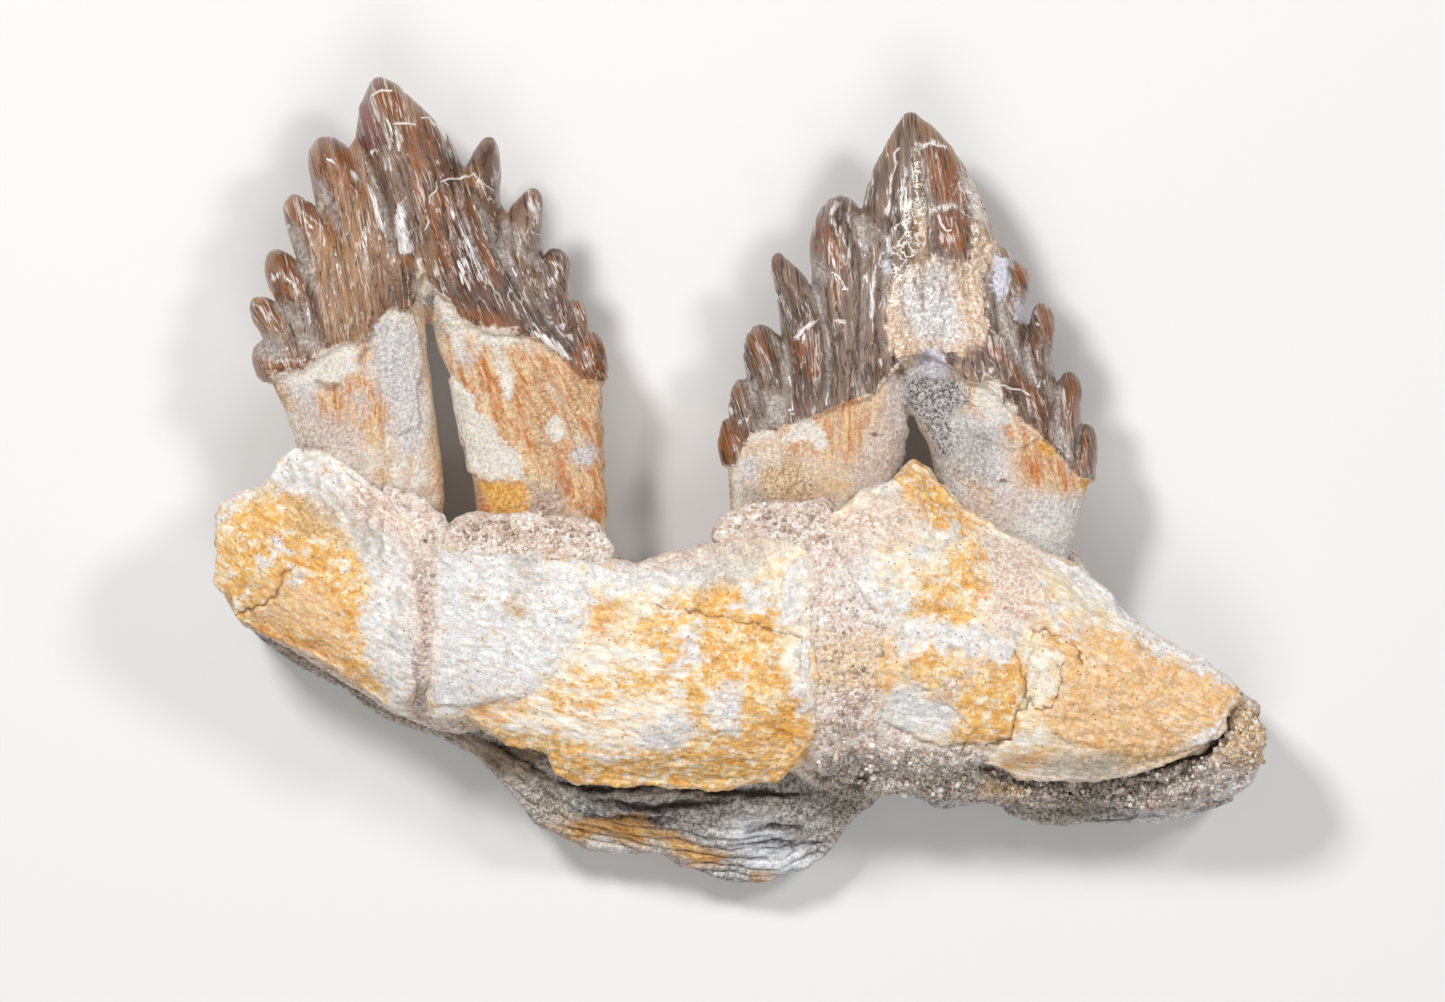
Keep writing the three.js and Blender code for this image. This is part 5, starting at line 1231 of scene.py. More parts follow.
# %% Patches on the right tooth
right_marks = {
    "tan": [],
    "brown": [
        [(72, 12), (68, 24), (62, 34), (57, 32), (58, 20), (64, 12), (70, 4)],
        [(12, 30), (18, 32), (18.4, 20), (12, 15), (10.6, 24)], (2.6, [(31, 72), (30, 66), (29.6, 60)]),
        (2, [(35, 70), (34.4, 63)]), (2.6, [(11, 42), (14, 36), (15.6, 30)]), (4, [(26, 24), (30, 24), (33, 27)]),
        (2, [(33.6, 70), (31.6, 62)]),
    ],
    "amber": [
        [(41.2, 72.5), (43.6, 73.4), (45.8, 71.8), (47.6, 68.6), (49.6, 64.6), (49.8, 61), (43, 61.4), (41.6, 66)],
        [(42.8, 59.8), (49.6, 59.8), (50.2, 56), (49.4, 50.6), (43, 50.8), (42.4, 55)], (1.8, [(44, 54), (44.6, 51)]),
        (1.8, [(47, 54), (47.6, 50.6)]), (2.4, [(18.2, 57.6), (17.2, 53), (17, 50.4)]),
        (2.8, [(20, 57.6), (20.4, 53), (21.4, 49), (22.8, 46)]), (1.4, [(21, 47), (21.8, 43), (21.6, 38)]),
        (1.0, [(8.2, 49.4), (7.9, 45)]), (1.2, [(3, 32), (3.4, 28.6), (4.6, 25)]),
        (1.2, [(4.2, 33), (5.6, 29.6), (7, 26)]), (2.6, [(13.6, 32), (13.2, 28), (13, 25)]),
        (2.2, [(16.4, 31.4), (16.8, 27), (16.6, 23)]), (1.4, [(-0.8, 21), (-0.8, 16)]),
        [(-4.5, 13.6), (-1.6, 13), (1.6, 11.8), (2.4, 10), (0.6, 8.6), (-1.2, 6), (-2, 3), (-4, 3), (-4.4, 9)],
        (3.4, [(61, 47.4), (63, 44.6), (62.6, 41.6)]),
        [(66.4, 38.8), (68.8, 37), (69.8, 34), (69.2, 31), (67, 31), (66.4, 34), (66.8, 36.6)],
        (1.6, [(63.2, 32), (64.2, 29)]),
        [(73.4, 23), (75.2, 21), (75, 17), (75.4, 13.6), (73.4, 12.6), (72.2, 16), (72.4, 19)],
        [(76.6, 11.6), (78.6, 10), (78.2, 6), (77.6, 2), (75, 3), (74.4, 4.4), (75.4, 7)],
        (3, [(54, 28.6), (57, 28.4), (59, 25)]), (1.2, [(57, 31), (60.4, 25.6), (63.4, 20.4), (66.4, 14), (69.6, 8)]),
        (1.2, [(61, 27), (64, 21), (67.4, 14.6)]),
    ],
    "red": [(2, [(19.6, 61), (21.6, 61.6)])],
    "mauve": [
        [(38, 82), (50, 66), (56, 50), (64, 50), (72, 34), (80, 12), (78, -2), (60, 14), (44, 26), (22, 14), (0, 8),
         (-4, 16), (4, 36), (8, 52), (20, 64), (30, 70)],
    ],
    # Dark bands, mostly painted shade along the grooves between the ribs.
    "dark": [
        (2.6, [(20.4, 29), (19.8, 23), (19, 17)]), (2, [(32.2, 57.4), (32.6, 53), (32, 49.6)]),
        (1.6, [(53.6, 47), (54.6, 42), (54.4, 38), (56, 33)]), (2, [(9.4, 42), (11.4, 37), (12.8, 33)]),
        (1.4, [(22.4, 36), (21.6, 30)]), (1.4, [(26.4, 34), (26, 28)]), (2, [(46, 57), (45, 52), (46.6, 49.6)]),
        (1.2, [(2.4, 28), (3.8, 23), (4.6, 19)]), (1.8, [(68, 14), (70, 11)]), (1.2, [(28.4, 24), (27, 21.4)]),
        (2, [(31, 68), (29, 62)]), (1, [(58, 27), (62, 20)]),
    ],
    "dust": [
        [(24, 58.6), (28, 58.6), (29.8, 55), (28.8, 50), (26, 54)],
        [(14, 44.8), (17, 44.4), (18.8, 41), (17.8, 37), (15.4, 41)],
        [(7.6, 31.8), (10.6, 31), (12, 28), (11.4, 22), (9.4, 28)], [(2, 21.4), (4.4, 22.4), (5, 19), (3.4, 17)],
        [(5, 20), (10, 19), (10.4, 13.6), (4, 11.6), (6, 14.6)],
        [(16, 49.6), (19, 48.4), (20.4, 45), (18, 42), (16.6, 45)], (3, [(57, 40), (59, 33), (62.4, 27), (66, 22)]),
        (2.6, [(68.6, 22), (70, 18)]), (2.2, [(69, 13), (71.4, 8), (73, 4.4)]), (1.6, [(74.4, 12), (76, 10.6)]),
        (3, [(53, 49), (54.6, 45)]),
    ],
    "lime": [
        [(35, 44), (38, 47), (42, 48.4), (45, 47.6), (46.6, 43), (48.6, 36), (49, 32), (46, 30.4), (42, 31),
         (39, 31.6), (37, 34), (35, 39)],
        (2.2, [(48.6, 67.6), (51.6, 62), (54, 56.4)]),
    ],
    "peach": [right_crusts[0]],
    "lace": [
        [(33, 44), (33, 50), (36, 55), (35.6, 60), (38, 62.6), (40.4, 62), (40.6, 55), (39.6, 50), (37, 46)],
        (1.2, [(40, 60.6), (44, 60), (47, 60.6)]), (2.4, [(51, 68), (52.8, 62), (54.6, 56)]),
        (4, [(33, 38), (36, 44), (40, 48)]),
    ],
    "lilac": [[(39.8, 29), (43, 30.2), (46.4, 28.4), (46.8, 24.4), (42, 23.2), (39, 25.2)]],
    "veins": [[(38, 74), (41, 74), (41, 62), (44, 61), (43, 59), (36, 56)], (2, [(51, 66), (54, 56)])],
    # The thin crust bands are partly lime and partly painted glints on the rib edges.
    "crust_and_glint": [
        (1.0, [(39, 74.2), (41, 74.2), (45.8, 73.6)]), (1.4, [(33.2, 61.8), (32.8, 58.2)]),
        (1.0, [(33.2, 57), (33.6, 53), (33.2, 50)]), (0.5, [(30.6, 69.4), (28.8, 64), (27.8, 60)]),
        (0.6, [(41, 60.8), (44, 60), (48, 60.2), (49.8, 58.8)]),
        (0.9, [(12.4, 31.6), (14.2, 33.6), (16.4, 34.8), (17.8, 36)]), (1.2, [(30.2, 46.6), (29.2, 40), (29.2, 33)]),
        (0.9, [(40.6, 71.4), (40.2, 67.6)]), (0.6, [(38.6, 69), (38.2, 62)]), (0.6, [(41, 67), (41, 62)]),
        (0.5, [(36.6, 69), (36.4, 62)]), (1.0, [(22.4, 61), (20.8, 58.8)]),
        (0.6, [(21, 58), (22.8, 53.6), (24.4, 49)]), (0.8, [(23.6, 59), (26, 54.4), (28.8, 49.6)]),
        (0.5, [(28, 48), (28.4, 43)]), (0.8, [(31, 28), (31, 25)]), (0.6, [(26, 24), (26, 21.6)]),
        (1.2, [(65.4, 34.6), (66.4, 35)]), (0.9, [(63.4, 31), (63.8, 28.6)]), (0.7, [(57.6, 47), (58.8, 43)]),
        (0.8, [(71.6, 20.6), (71.2, 16)]), (0.6, [(60, 31), (63.6, 24)]), (0.5, [(62, 22), (65, 15.6)]),
        (0.9, [(56, 24.6), (55, 23.6)]), (1, [(16.8, 17), (17, 14.6)]), (0.8, [(0.6, 12.8), (1.8, 14.6)]),
        (1.2, [(-1.4, 16.4), (-1.2, 15.2)]), (0.5, [(8, 46), (8.6, 42), (10, 38)]), (0.5, [(4, 31), (5.2, 28)]),
        (0.5, [(13.2, 42), (15.6, 36)]), (0.6, [(2, 27), (2.6, 24)]),
    ],
    "cream": [
        (2, [(2, 10), (8, 10)]), (4, [(9, 9), (16, 12), (19, 6)]), (6, [(52, 20), (58, 19)]),
        (3, [(75.6, 0), (77.5, -1)]), (6, [(52, 20), (60, 13)]), (5, [(51, 42), (50, 34), (46, 29)]),
    ],
    "bluish": [
        [(56, 50), (59.8, 49), (59.6, 44), (58.6, 40.4), (57, 40), (55.6, 44)],
        [(40.2, 29), (43, 29.8), (45.8, 27.6), (45, 24), (41, 23.2), (39.4, 25.4)],
        [(60.4, 40.6), (62.6, 39.4), (64.4, 38.6), (65.6, 37.6), (63, 35), (60.6, 35.6)], (2, [(32, 49), (33, 46)]),
        [(33, 23), (38, 23), (38, -4), (34, 2), (33, 12)], (5, [(2.5, 6), (2.5, 0)]),
        [(44, 16), (58, 14), (60, -4), (44, -6)], [(54, -2), (76, -4), (74, -18), (56, -18)],
    ],
    "orange": [
        [(18, 18), (32, 20), (34, 16), (28, 10), (26, 4), (20, 3), (10, 6), (5, 9), (14, 12)],
        [(61, 13), (72, 6), (74, -2), (62, -2), (60, 6)], (5, [(70, 4), (74, -4)]),
        (4, [(50, 17), (56, 14), (62, 8)]), (3, [(9, 12.8), (14, 14)]),
    ],
    "grit": [[(4, 3), (12, 5), (17, 0), (20, -14), (4, -14)], (3, [(46, 4), (56, -4)])],
    "rosy": [[(31, 17), (37, 21), (37, 0), (26, -4), (25, 4), (29, 10)], [(48, -4), (64, -2), (62, -16), (50, -16)]],
    "sandy": [
        [(36.4, 22.8), (40, 24), (48, 22.8), (49.4, 18), (47.4, 15.2), (44, 13), (43, 8.6), (41.4, 10.6),
         (39.6, 14.6), (36.4, 16.4)],
        (3.6, [(45, 16), (44.4, 10), (45.4, 5)]), (3, [(46.6, 20.4), (50.4, 17)]),
    ],
    "grey": [
        [(37, 25), (49, 25), (49, 14), (43, 10), (37, 14)], [(48, 12), (56, 10), (56, 0), (46, 0)],
        (3, [(0, 0), (8, -8)]), (4, [(43.6, 12), (43.6, 0)]),
    ],
    "yellow": [(3, [(75, 0), (77.6, -1.4)]), (3, [(66, 9), (70, 6)])],
    "chalk": [[(20, -4), (40, -2), (38, -20), (20, -20)], [(66, -8), (80, -4), (78, -20), (52, -20), (54, -12)]],
    "spot": [(2, [(29.5, 10.8), (29.5, 10)]), (2.2, [(58, 0.4), (58, -0.4)]), (2, [(34.4, 25), (35.8, 23.6)])],
}
print("right tooth:", sum(map(len, right_marks.values())), "patches")

# %% Dress the teeth
CRUST_LOSS = 0.15


def tooth_fields(rest, moved, quads, marks, enamel, ribs, crack, seed):
    fields = mark_fields(rest, marks, 0.7, seed)
    fields["enamel"] = enamel
    fields["crust_and_glint"] -= CRUST_LOSS
    fields["fibre"] = ribs
    fields["crack"] = 0.25 - crack
    normals = normals_of(rest, quads)
    wide, narrow = hollowness(moved, quads, normals, 70), hollowness(moved, quads, normals, 8)
    print("valley depths:", np.percentile(wide, (10, 50, 75, 90)).round(2), "mm")
    fields["hollow"] = 2.4 * wide + 2 * narrow - 0.9
    return fields


tooth_surface = tooth_material()
for name, rest, moved, quads, marks, enamel, ribs, crack in (
    ("left_tooth_skin", left_points, left_tooth_points, left_quads,
     left_marks, left_enamel, left_ribs, left_crack),
    ("right_tooth_skin", right_points, right_tooth_points, right_quads,
     right_marks, right_enamel, right_ribs, right_crack),
):
    fields = tooth_fields(rest, moved, quads, marks, enamel, ribs, crack, len(name) * 10)
    finished_piece(name, name[:-5], moved, quads, fields, tooth_surface)


# %% [markdown]
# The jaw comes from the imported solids, whose broad faces are flat facets. They are wrapped in a fine
# skin, and the height of each upper face is evened out on its own, so that facets go while the broken
# rims keep their place. Real bone of this kind is a thin dense wall that split along its grain, so the
# relief follows the grain: long fibres, splits, plates that flaked off, and pores where it is spongy.

# %% Skins of the jaw pieces
OUTER_BONES = ("left_bone", "middle_bone", "right_bone")
BONE_VOXEL, INNER_VOXEL, STONE_VOXEL = 0.39, 0.64, 0.72
EVENING_ROUNDS = 220


def node_form(name):
    """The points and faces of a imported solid, with points that share a place made one."""
    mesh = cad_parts[name].data
    found = np.empty(len(mesh.vertices) * 3)
    mesh.vertices.foreach_get("co", found)
    found = to_drawing(found.reshape(-1, 3))
    points, index = np.unique(found.round(3), axis=0, return_inverse=True)
    index = index.ravel()
    return points, [tuple(index[i] for i in face.vertices) for face in mesh.polygons]


def evened_top(points, quads, rounds):
    """Evens the height of the face that looks up, without moving its rim sideways."""
    up = normals_of(points, quads)[:, 2] > 0.4
    a, b = edges_of(quads)
    kept = up[a] & up[b]
    edges = a[kept], b[kept]
    points = points.copy()
    for k in range(rounds):
        points[:, 2] += 0.6 * (neighbour_mean(points[:, 2], edges, len(points)) - points[:, 2])
    return points


def jaw_skin(name, voxel, rounds):
    points, quads = remeshed(name, *node_form(name), voxel)
    points = smoothed(points, quads, rounds, 0)
    points = evened_top(points, quads, EVENING_ROUNDS)
    return smoothed(points, quads, 4, 0), quads


skins = {name: jaw_skin(name, BONE_VOXEL, 6) for name in OUTER_BONES}
skins["inner_bone"] = jaw_skin("inner_bone", INNER_VOXEL, 10)
skins["matrix"] = jaw_skin("matrix", STONE_VOXEL, 6)
print({name: len(quads) * 2 for name, (points, quads) in skins.items()}, "triangles")

# %% [markdown]
# On the fossil the sand is worn down level with the bone, and one can hardly feel where the wall ends.
# So the bone edges and the stone between them are drawn to one common height that bulges across the
# jaw, and the stone creeps a millimetre or two over the bone's broken edge. Under the left tooth the
# bone thins out towards the root instead and melts into its crust.

# %% The common outer face
outer_bulge = np.array([
    (-120, -15, 18, 39, 33), (-90, -19, 26, 44, 35), (-68, -31, 24, 44, 35), (-40, -39, 28, 46, 35),
    (0, -40, 30, 47, 35),
    (35, -26, 34, 47, 36), (60, -38, 30, 45.5, 34), (85, -47, 24, 42, 33), (120, -57, 16, 37, 30)], float)
seams = [
    [(-70.2, -12), (-70.8, -20), (-69.8, -30), (-70.6, -40), (-72.2, -50)],
    [(-66.4, -50), (-66.2, -40), (-65.6, -30), (-66.4, -20), (-66, -14)],
    [(-66, -13.6), (-60, -15.4), (-50, -16.4), (-39, -16), (-29, -17.4)],
    [(-6, -13.8), (3, -12.3), (10, -12.4), (14, -13.5), (16.4, -18), (15.8, -30), (17, -42), (16, -52), (15, -59),
     (12, -62)],
    [(25.6, -3.6), (20.4, -8), (21.5, -15), (27, -22), (31.5, -30), (30.5, -40), (31, -50), (36, -54.5), (44, -57),
     (50, -56)],
]
melting = [[(-99, 6), (-97.3, 7.6), (-91, 6.5), (-85, 2.5), (-79, -2.5), (-74.5, -8), (-70.6, -12)]]


def outer_height(points):
    """Height of the common face: the bulge gives its ridge, half width, ridge height and edge height."""
    values = [np.interp(points[:, 0], outer_bulge[:, 0], outer_bulge[:, k]) for k in range(1, 5)]
    off = (np.abs(points[:, 1] - values[0]) / values[1]).clip(0, 1.3)
    return values[2] - (values[2] - values[3]) * off ** 2.2


print("height in the middle:", outer_height(np.zeros((1, 3))).round(1), "mm")

# %% Draw the edges to the common face
def drawn_level(points, quads, lift, sideways, reach):
    """Moves the upper part near the seams to the common face, and its sides outward over the gap."""
    points = points.copy()
    near = step(reach - near_lines(points, seams, 1.0), 0, 0.7 * reach)
    up = step(normals_of(points, quads)[:, 2], -0.1, 0.5)
    target = outer_height(points) + lift
    points[:, 2] += near * up * step(points[:, 2], 28, 36) * (target - points[:, 2])
    low = 31.6 + 0.8 * roughness(points, 5, 2, 41)
    melt = step(11 - near_lines(points, melting, 1.0), 0, 10)
    points[:, 2] += melt * step(points[:, 2], 31, 34) * (np.minimum(low, points[:, 2]) - points[:, 2])
    normals = normals_of(points, quads)
    side = 1 - step(np.abs(normals[:, 2]), 0.3, 0.9)
    creep = sideways[0] + sideways[1] * noise(points, 4, 42)
    push = side * np.maximum(near, melt) * step(points[:, 2], 26, 32) * creep
    points[:, :2] += normals[:, :2] * push[:, None]
    return points


for name in OUTER_BONES:
    points, quads = skins[name]
    skins[name] = drawn_level(points, quads, 0.3, (0.6, 0.3), 7), quads
points, quads = skins["matrix"]
stone_lift = 0.4 + 0.4 * roughness(points, 4, 3, 43)
skins["matrix"] = drawn_level(points, quads, stone_lift, (2.4, 1.0), 12), quads
print("stone over the seams: up to", round(float(stone_lift.max()), 2), "mm above the common face")

# %% [markdown]
# What stains the bone: iron gives ochre, from yellow to deep orange, mostly where the wall is spongy.
# Lime gives chalk-white crusts, and where these are thin the bone shows through with a cool tint. The
# sediment that still clings is mauve-grey grit, and a few spots are brown with manganese.

# %% Patches on the outer side of the jaw
jaw_marks = {
    "ochre": [
        [(-113, -6), (-108, -3.3), (-98, -2), (-94, -7), (-88, -11.5), (-84, -15), (-82, -20), (-81, -26), (-85, -30),
         (-83, -35), (-80, -42), (-76, -46), (-81, -46), (-92, -40), (-102, -34.5), (-110, -31), (-112.6, -24),
         (-114, -16)],
        [(-62, -53), (-52, -48), (-42, -47), (-34, -38), (-24, -34), (-12, -24), (4, -22), (9, -28), (8, -36),
         (14, -50), (16, -58), (8, -66), (-10, -68), (-38, -68), (-44, -60), (-60, -54)],
        [(35, 0), (38.5, 5.5), (43, 1), (53, -9), (50, -12), (38, -8), (35, -3)],
        [(49, -12), (53.5, -16), (52, -20), (54, -22), (51, -27), (50, -30), (44, -29), (38, -28), (40, -24),
         (44, -20), (45, -16)],
        [(40, -36), (43, -35), (47, -38), (53, -39), (60, -37.5), (62, -41), (61.5, -47), (60, -50), (59, -55),
         (54, -57), (47, -56.5), (48, -50), (43, -46), (38, -43), (36, -40)],
        [(66, -24), (74, -33), (84, -34), (97, -41), (108, -44), (110, -47), (104, -55), (98, -59), (85, -60),
         (70, -56), (66, -50), (71, -46), (71, -38), (65, -33)],
        [(17, -33), (35, -33), (33, -45), (17, -45)], [(62, -25), (68, -26), (67, -30), (62, -29)],
        [(-41, -18), (-38, -17), (-38, -21), (-41, -21)], [(53, -66), (58, -65.5), (64, -67.5), (62, -70), (54, -69)],
        (5, [(106, -50), (112, -60)]),
    ],
    "tan": [
        [(66, -26), (84, -35), (108, -44), (104, -55), (98, -59), (85, -60), (70, -56), (66, -50), (71, -46),
         (71, -38)],
        [(17, -33), (35, -33), (33, -45), (17, -45)],
        [(-104, -22), (-93, -20), (-87, -28), (-84, -38), (-92, -38), (-104, -30)],
    ],
    "pale": [
        [(-44, -40), (-32, -36), (-20, -36), (-12, -42), (-12, -56), (-20, -60), (-38, -60), (-46, -52)],
        [(-60, -50), (-50, -48), (-46, -54), (-56, -54)], (3, [(-98, -36), (-84, -44)]),
    ],
    "deep": [
        [(6, -50), (17, -50), (16.5, -58), (8, -58)], [(-33, -25), (-26, -26), (-26, -32), (-32, -33)],
        (3, [(-108, -29), (-92, -37), (-80, -43)]), (3, [(-60, -50), (-50, -52)]),
        (3, [(-104, -8), (-98, -14), (-90, -20)]), (4, [(56, -62), (68, -60)]),
    ],
    "chalk": [
        [(-113, -8), (-112, -2), (-98, 8), (-84, 4), (-70, -10), (-70, -50), (-75, -48), (-80, -38), (-82, -30),
         (-79, -22), (-84, -10), (-94, -4), (-104, 0)],
        [(-66, -14), (-50, -16), (-36, -17), (-32, -26), (-38, -38), (-46, -46), (-56, -48), (-66, -48)],
        [(-36, -16), (-20, -18), (-4, -14), (-6, -22), (-20, -24), (-32, -22)],
        [(-13, -31), (-10, -31), (-9, -40), (-13, -40)], [(-6, -45), (0, -45), (0, -55), (-6, -54)],
        [(0, -22), (6, -22), (6, -28), (0, -28)],
        [(14, -17), (16, -20), (15.5, -26), (13, -31), (9.5, -32), (9, -26), (10.5, -20)],
        [(13.5, -34), (15.5, -36), (15.5, -44), (16.5, -49), (14, -50), (12, -47), (13.5, -43), (13, -38)],
        [(21, -22), (30, -22), (30, -12), (22, -12)],
        [(24, -20), (30, -21), (36, -25), (38, -29), (30, -30), (26, -26)],
        [(43, -10), (48, -10), (47, -15), (43, -15)], (2.4, [(40.2, -13.6), (40.4, -15.4)]),
        [(32, -31), (38, -29.5), (47, -31.5), (56, -33.5), (60, -34), (59, -38), (52, -38.5), (46, -37), (42, -34.5),
         (38, -36), (36, -39), (34, -38), (33, -34)],
        [(66, -27), (70, -27), (71, -30), (74, -34), (71, -33), (67, -31), (64.5, -30)],
        [(56, -28), (61, -28), (61, -33), (57, -33)], (5, [(66, -15), (78, -22), (88, -32), (101, -39), (110, -45)]),
        (3, [(-101, -14), (-99, -12)]), (3, [(-104, -18), (-103, -16)]), (3, [(-97, -21), (-95, -19)]),
        (3, [(94, -60), (104, -55), (108, -50)]),
    ],
    "bluish": [
        [(-66, -15), (-60, -15), (-60, -30), (-66, -30)], [(-66, -43), (-61, -44), (-61, -51), (-66, -51)],
        [(-22, -52), (-12, -50), (-8, -54), (-14, -58), (-22, -57)],
        [(34, -44), (38, -43.5), (40, -47), (44, -47), (48, -50), (47, -55), (40, -55), (35, -54), (32, -50)],
        (3, [(30, -3), (35, -1)]),
    ],
    "mauve": [
        [(-72, -10), (-68, -12), (-66, -24), (-67, -40), (-68, -52), (-72, -50), (-70, -38), (-71, -24)],
        [(-88, -2), (-72, 2), (-66, -8), (-70, -14), (-84, -8)],
        [(16, -12), (28, -4), (34, -4), (28, -14), (22, -22), (22, -32), (16, -32)],
        [(17, -45), (30, -45), (31, -60), (17, -62)], [(52, -10), (66, -14), (66, -32), (54, -32), (55, -20)],
        [(28, -3), (40, -6), (38, -14), (28, -12)],
        [(-26, -14), (-6, -14), (8, -12), (8, -16), (-8, -19), (-26, -18)], (3, [(44, -47), (47, -43), (52, -41)]),
        (4, [(30, -66), (60, -66), (100, -64)]),
    ],
    "brown": [
        [(-99, -4), (-93, -3), (-87, -8), (-85, -13), (-90, -12), (-96, -12), (-98, -9)],
        (3, [(-57.5, -25), (-57.5, -26)]), (2.4, [(-72, -47), (-71, -48)]), (2, [(-60, -52.5), (-50, -55.5)]),
        (3, [(-50, -26), (-46, -29)]), (4, [(66, -61), (90, -60), (104, -58)]),
    ],
    "grey": [
        [(-84, -10), (-80, -11), (-80, -16), (-84, -15)], [(-50, -16), (-44, -16), (-44, -22), (-50, -23)],
        (1.6, [(-75.3, -33), (-75.2, -34)]), (1.6, [(-63, -26), (-62.8, -26.6)]),
        [(-11, -19), (8, -12), (4, -20), (-8, -24)], [(68, -64), (82, -64), (82, -60), (68, -60)],
    ],
}
print("marks:", {name: len(marks) for name, marks in jaw_marks.items()})

# %% Cracks and plates of the jaw
jaw_cracks = [
    [(-110, -29), (-104, -27), (-101, -24.5), (-99, -19.5), (-96, -18)],
    [(60.5, -37), (61.5, -40), (63, -44), (62.5, -47), (65, -49), (68, -49), (69.5, -45), (70, -41), (71, -39)],
    [(64, -32), (69, -33), (73.5, -36), (75, -39)], [(63, -48), (60, -51), (59, -56), (54, -58)],
    [(-18, -26.4), (-6, -29), (3.3, -30.6), (13.4, -33.6)],
]
raised_plates = [
    [(-66, -14), (-50, -16), (-36, -17), (-32, -26), (-37, -38), (-45, -46), (-56, -48), (-66, -48)],
    [(13, -16), (16, -20), (15.5, -26), (13, -31), (9.5, -32), (9, -26), (10.5, -20)], jaw_marks["chalk"][7],
    jaw_marks["ochre"][4], jaw_marks["ochre"][5],
    [(36, 3), (44, -6), (52, -12), (52, -28), (40, -28), (28, -20), (26, -8)],
    [(62, -26), (66, -26), (68, -30), (64, -34), (62, -44), (60, -34)],
]
print("cracks and plates:", len(jaw_cracks), len(raised_plates))

# %% [markdown]
# The dense outer wall splits along its grain, and weather lifts thin plates off it. Where iron stained
# it, it is spongy, with pits of about a millimetre. The strokes give the grain along the jaw, and every
# kind of relief has a strength of its own in each stained area.

# %% Relief of the outer bone
jaw_grain = [
    (-108, -14, -32), (-95, -5, -34), (-95, -25, -32), (-82, -35, -33), (-78, -12, -34), (-66, -30, -28),
    (-60, -45, -24), (-50, -22, -16), (-45, -50, -14), (-30, -35, -8), (-25, -60, -2), (-8, -25, -4), (-5, -45, -4),
    (-5, -62, 4), (12, -30, -4), (14, -50, 0), (35, -5, -30), (35, -25, -12), (40, -48, -10), (55, -20, -36),
    (58, -40, -14), (60, -60, -4), (75, -30, -38), (78, -48, -20), (85, -60, -4), (95, -42, -34), (98, -55, -16),
    (108, -48, -34), (108, -62, -8),
]
bone_grain = across_fibres(jaw_grain)
print("strokes along the bone's grain:", len(jaw_grain))


def outer_bone_relief(points, quads, seed):
    normals = normals_of(points, quads)
    top = step(normals[:, 2], 0.3, 0.7)
    fp = fibre_points(points, bone_grain, 4)
    fibrous = step(patches(points, [jaw_marks["ochre"][1], jaw_marks["ochre"][5]], 2, seed), -3, 3)
    spongy = step(patches(points, jaw_marks["ochre"], 1.5, seed + 1) + 2 * roughness(points, 4, 2, seed + 2), -1, 2)
    grit_depth = patches(points, jaw_marks["mauve"] + jaw_marks["brown"], 1.5, seed + 11)
    gritty = step(grit_depth + 1.5 * roughness(points, 4, 2, seed + 2), -1, 1)
    crust_depth = patches(points, jaw_marks["chalk"], 1.5, seed + 12)
    crusted = step(crust_depth + 1.6 * roughness(points, 3, 3, seed + 13), -0.4, 0.4)
    lift = 0.5 * roughness(points, 12, 4, seed + 3) + (0.09 + 0.12 * spongy) * roughness(points, 1.5, 2, seed + 4)
    lift += (0.05 + 0.16 * fibrous + 0.06 * spongy) * roughness(fp, 1.3, 2, seed + 5)
    split = 1 - (np.abs(noise(fp, 2.6, seed + 6)) * 8).clip(0, 1)
    lift -= (0.04 + 0.14 * fibrous) * split * step(roughness(points, 7, 2, seed + 7), -0.2, 0.4)
    pores = step(grains(points, 1.7, seed + 8), 0.62, 0.86) * step(roughness(points, 6, 2, seed + 10), -0.3, 0.3)
    lift -= (0.05 + 0.34 * spongy) * pores
    lift += gritty * (0.4 * grains(points, 1.4, seed + 14) - 0.1)
    lift += top * (0.28 * crusted + 0.45 * step(patches(points, raised_plates, 1.2, seed), -0.3, 0.3))
    crack = near_lines(points, jaw_cracks, 0.9)
    lift -= 0.8 * top * np.exp(-((crack / CRACK_WIDTH) ** 2))
    lift += (1 - top) * (0.9 * roughness(points, 6, 4, seed + 9))
    return points + normals * lift[:, None], crack


def jaw_fields(points, crack, seed):
    fields = mark_fields(points, jaw_marks, 1.2, seed)
    fields["fibre"] = bone_grain(points)
    fields["crack"] = 0.22 - crack
    return fields


# %% [markdown]
# Fossil bone is matt: its surface is full of pores far smaller than a millimetre. The base is the
# cream of lime-soaked bone, and the stains lie over it with broken edges. Fine splits follow the grain.

# %% Outer bone
BONE_ROUGHNESS = 0.85
BONE_INDEX = 1.5


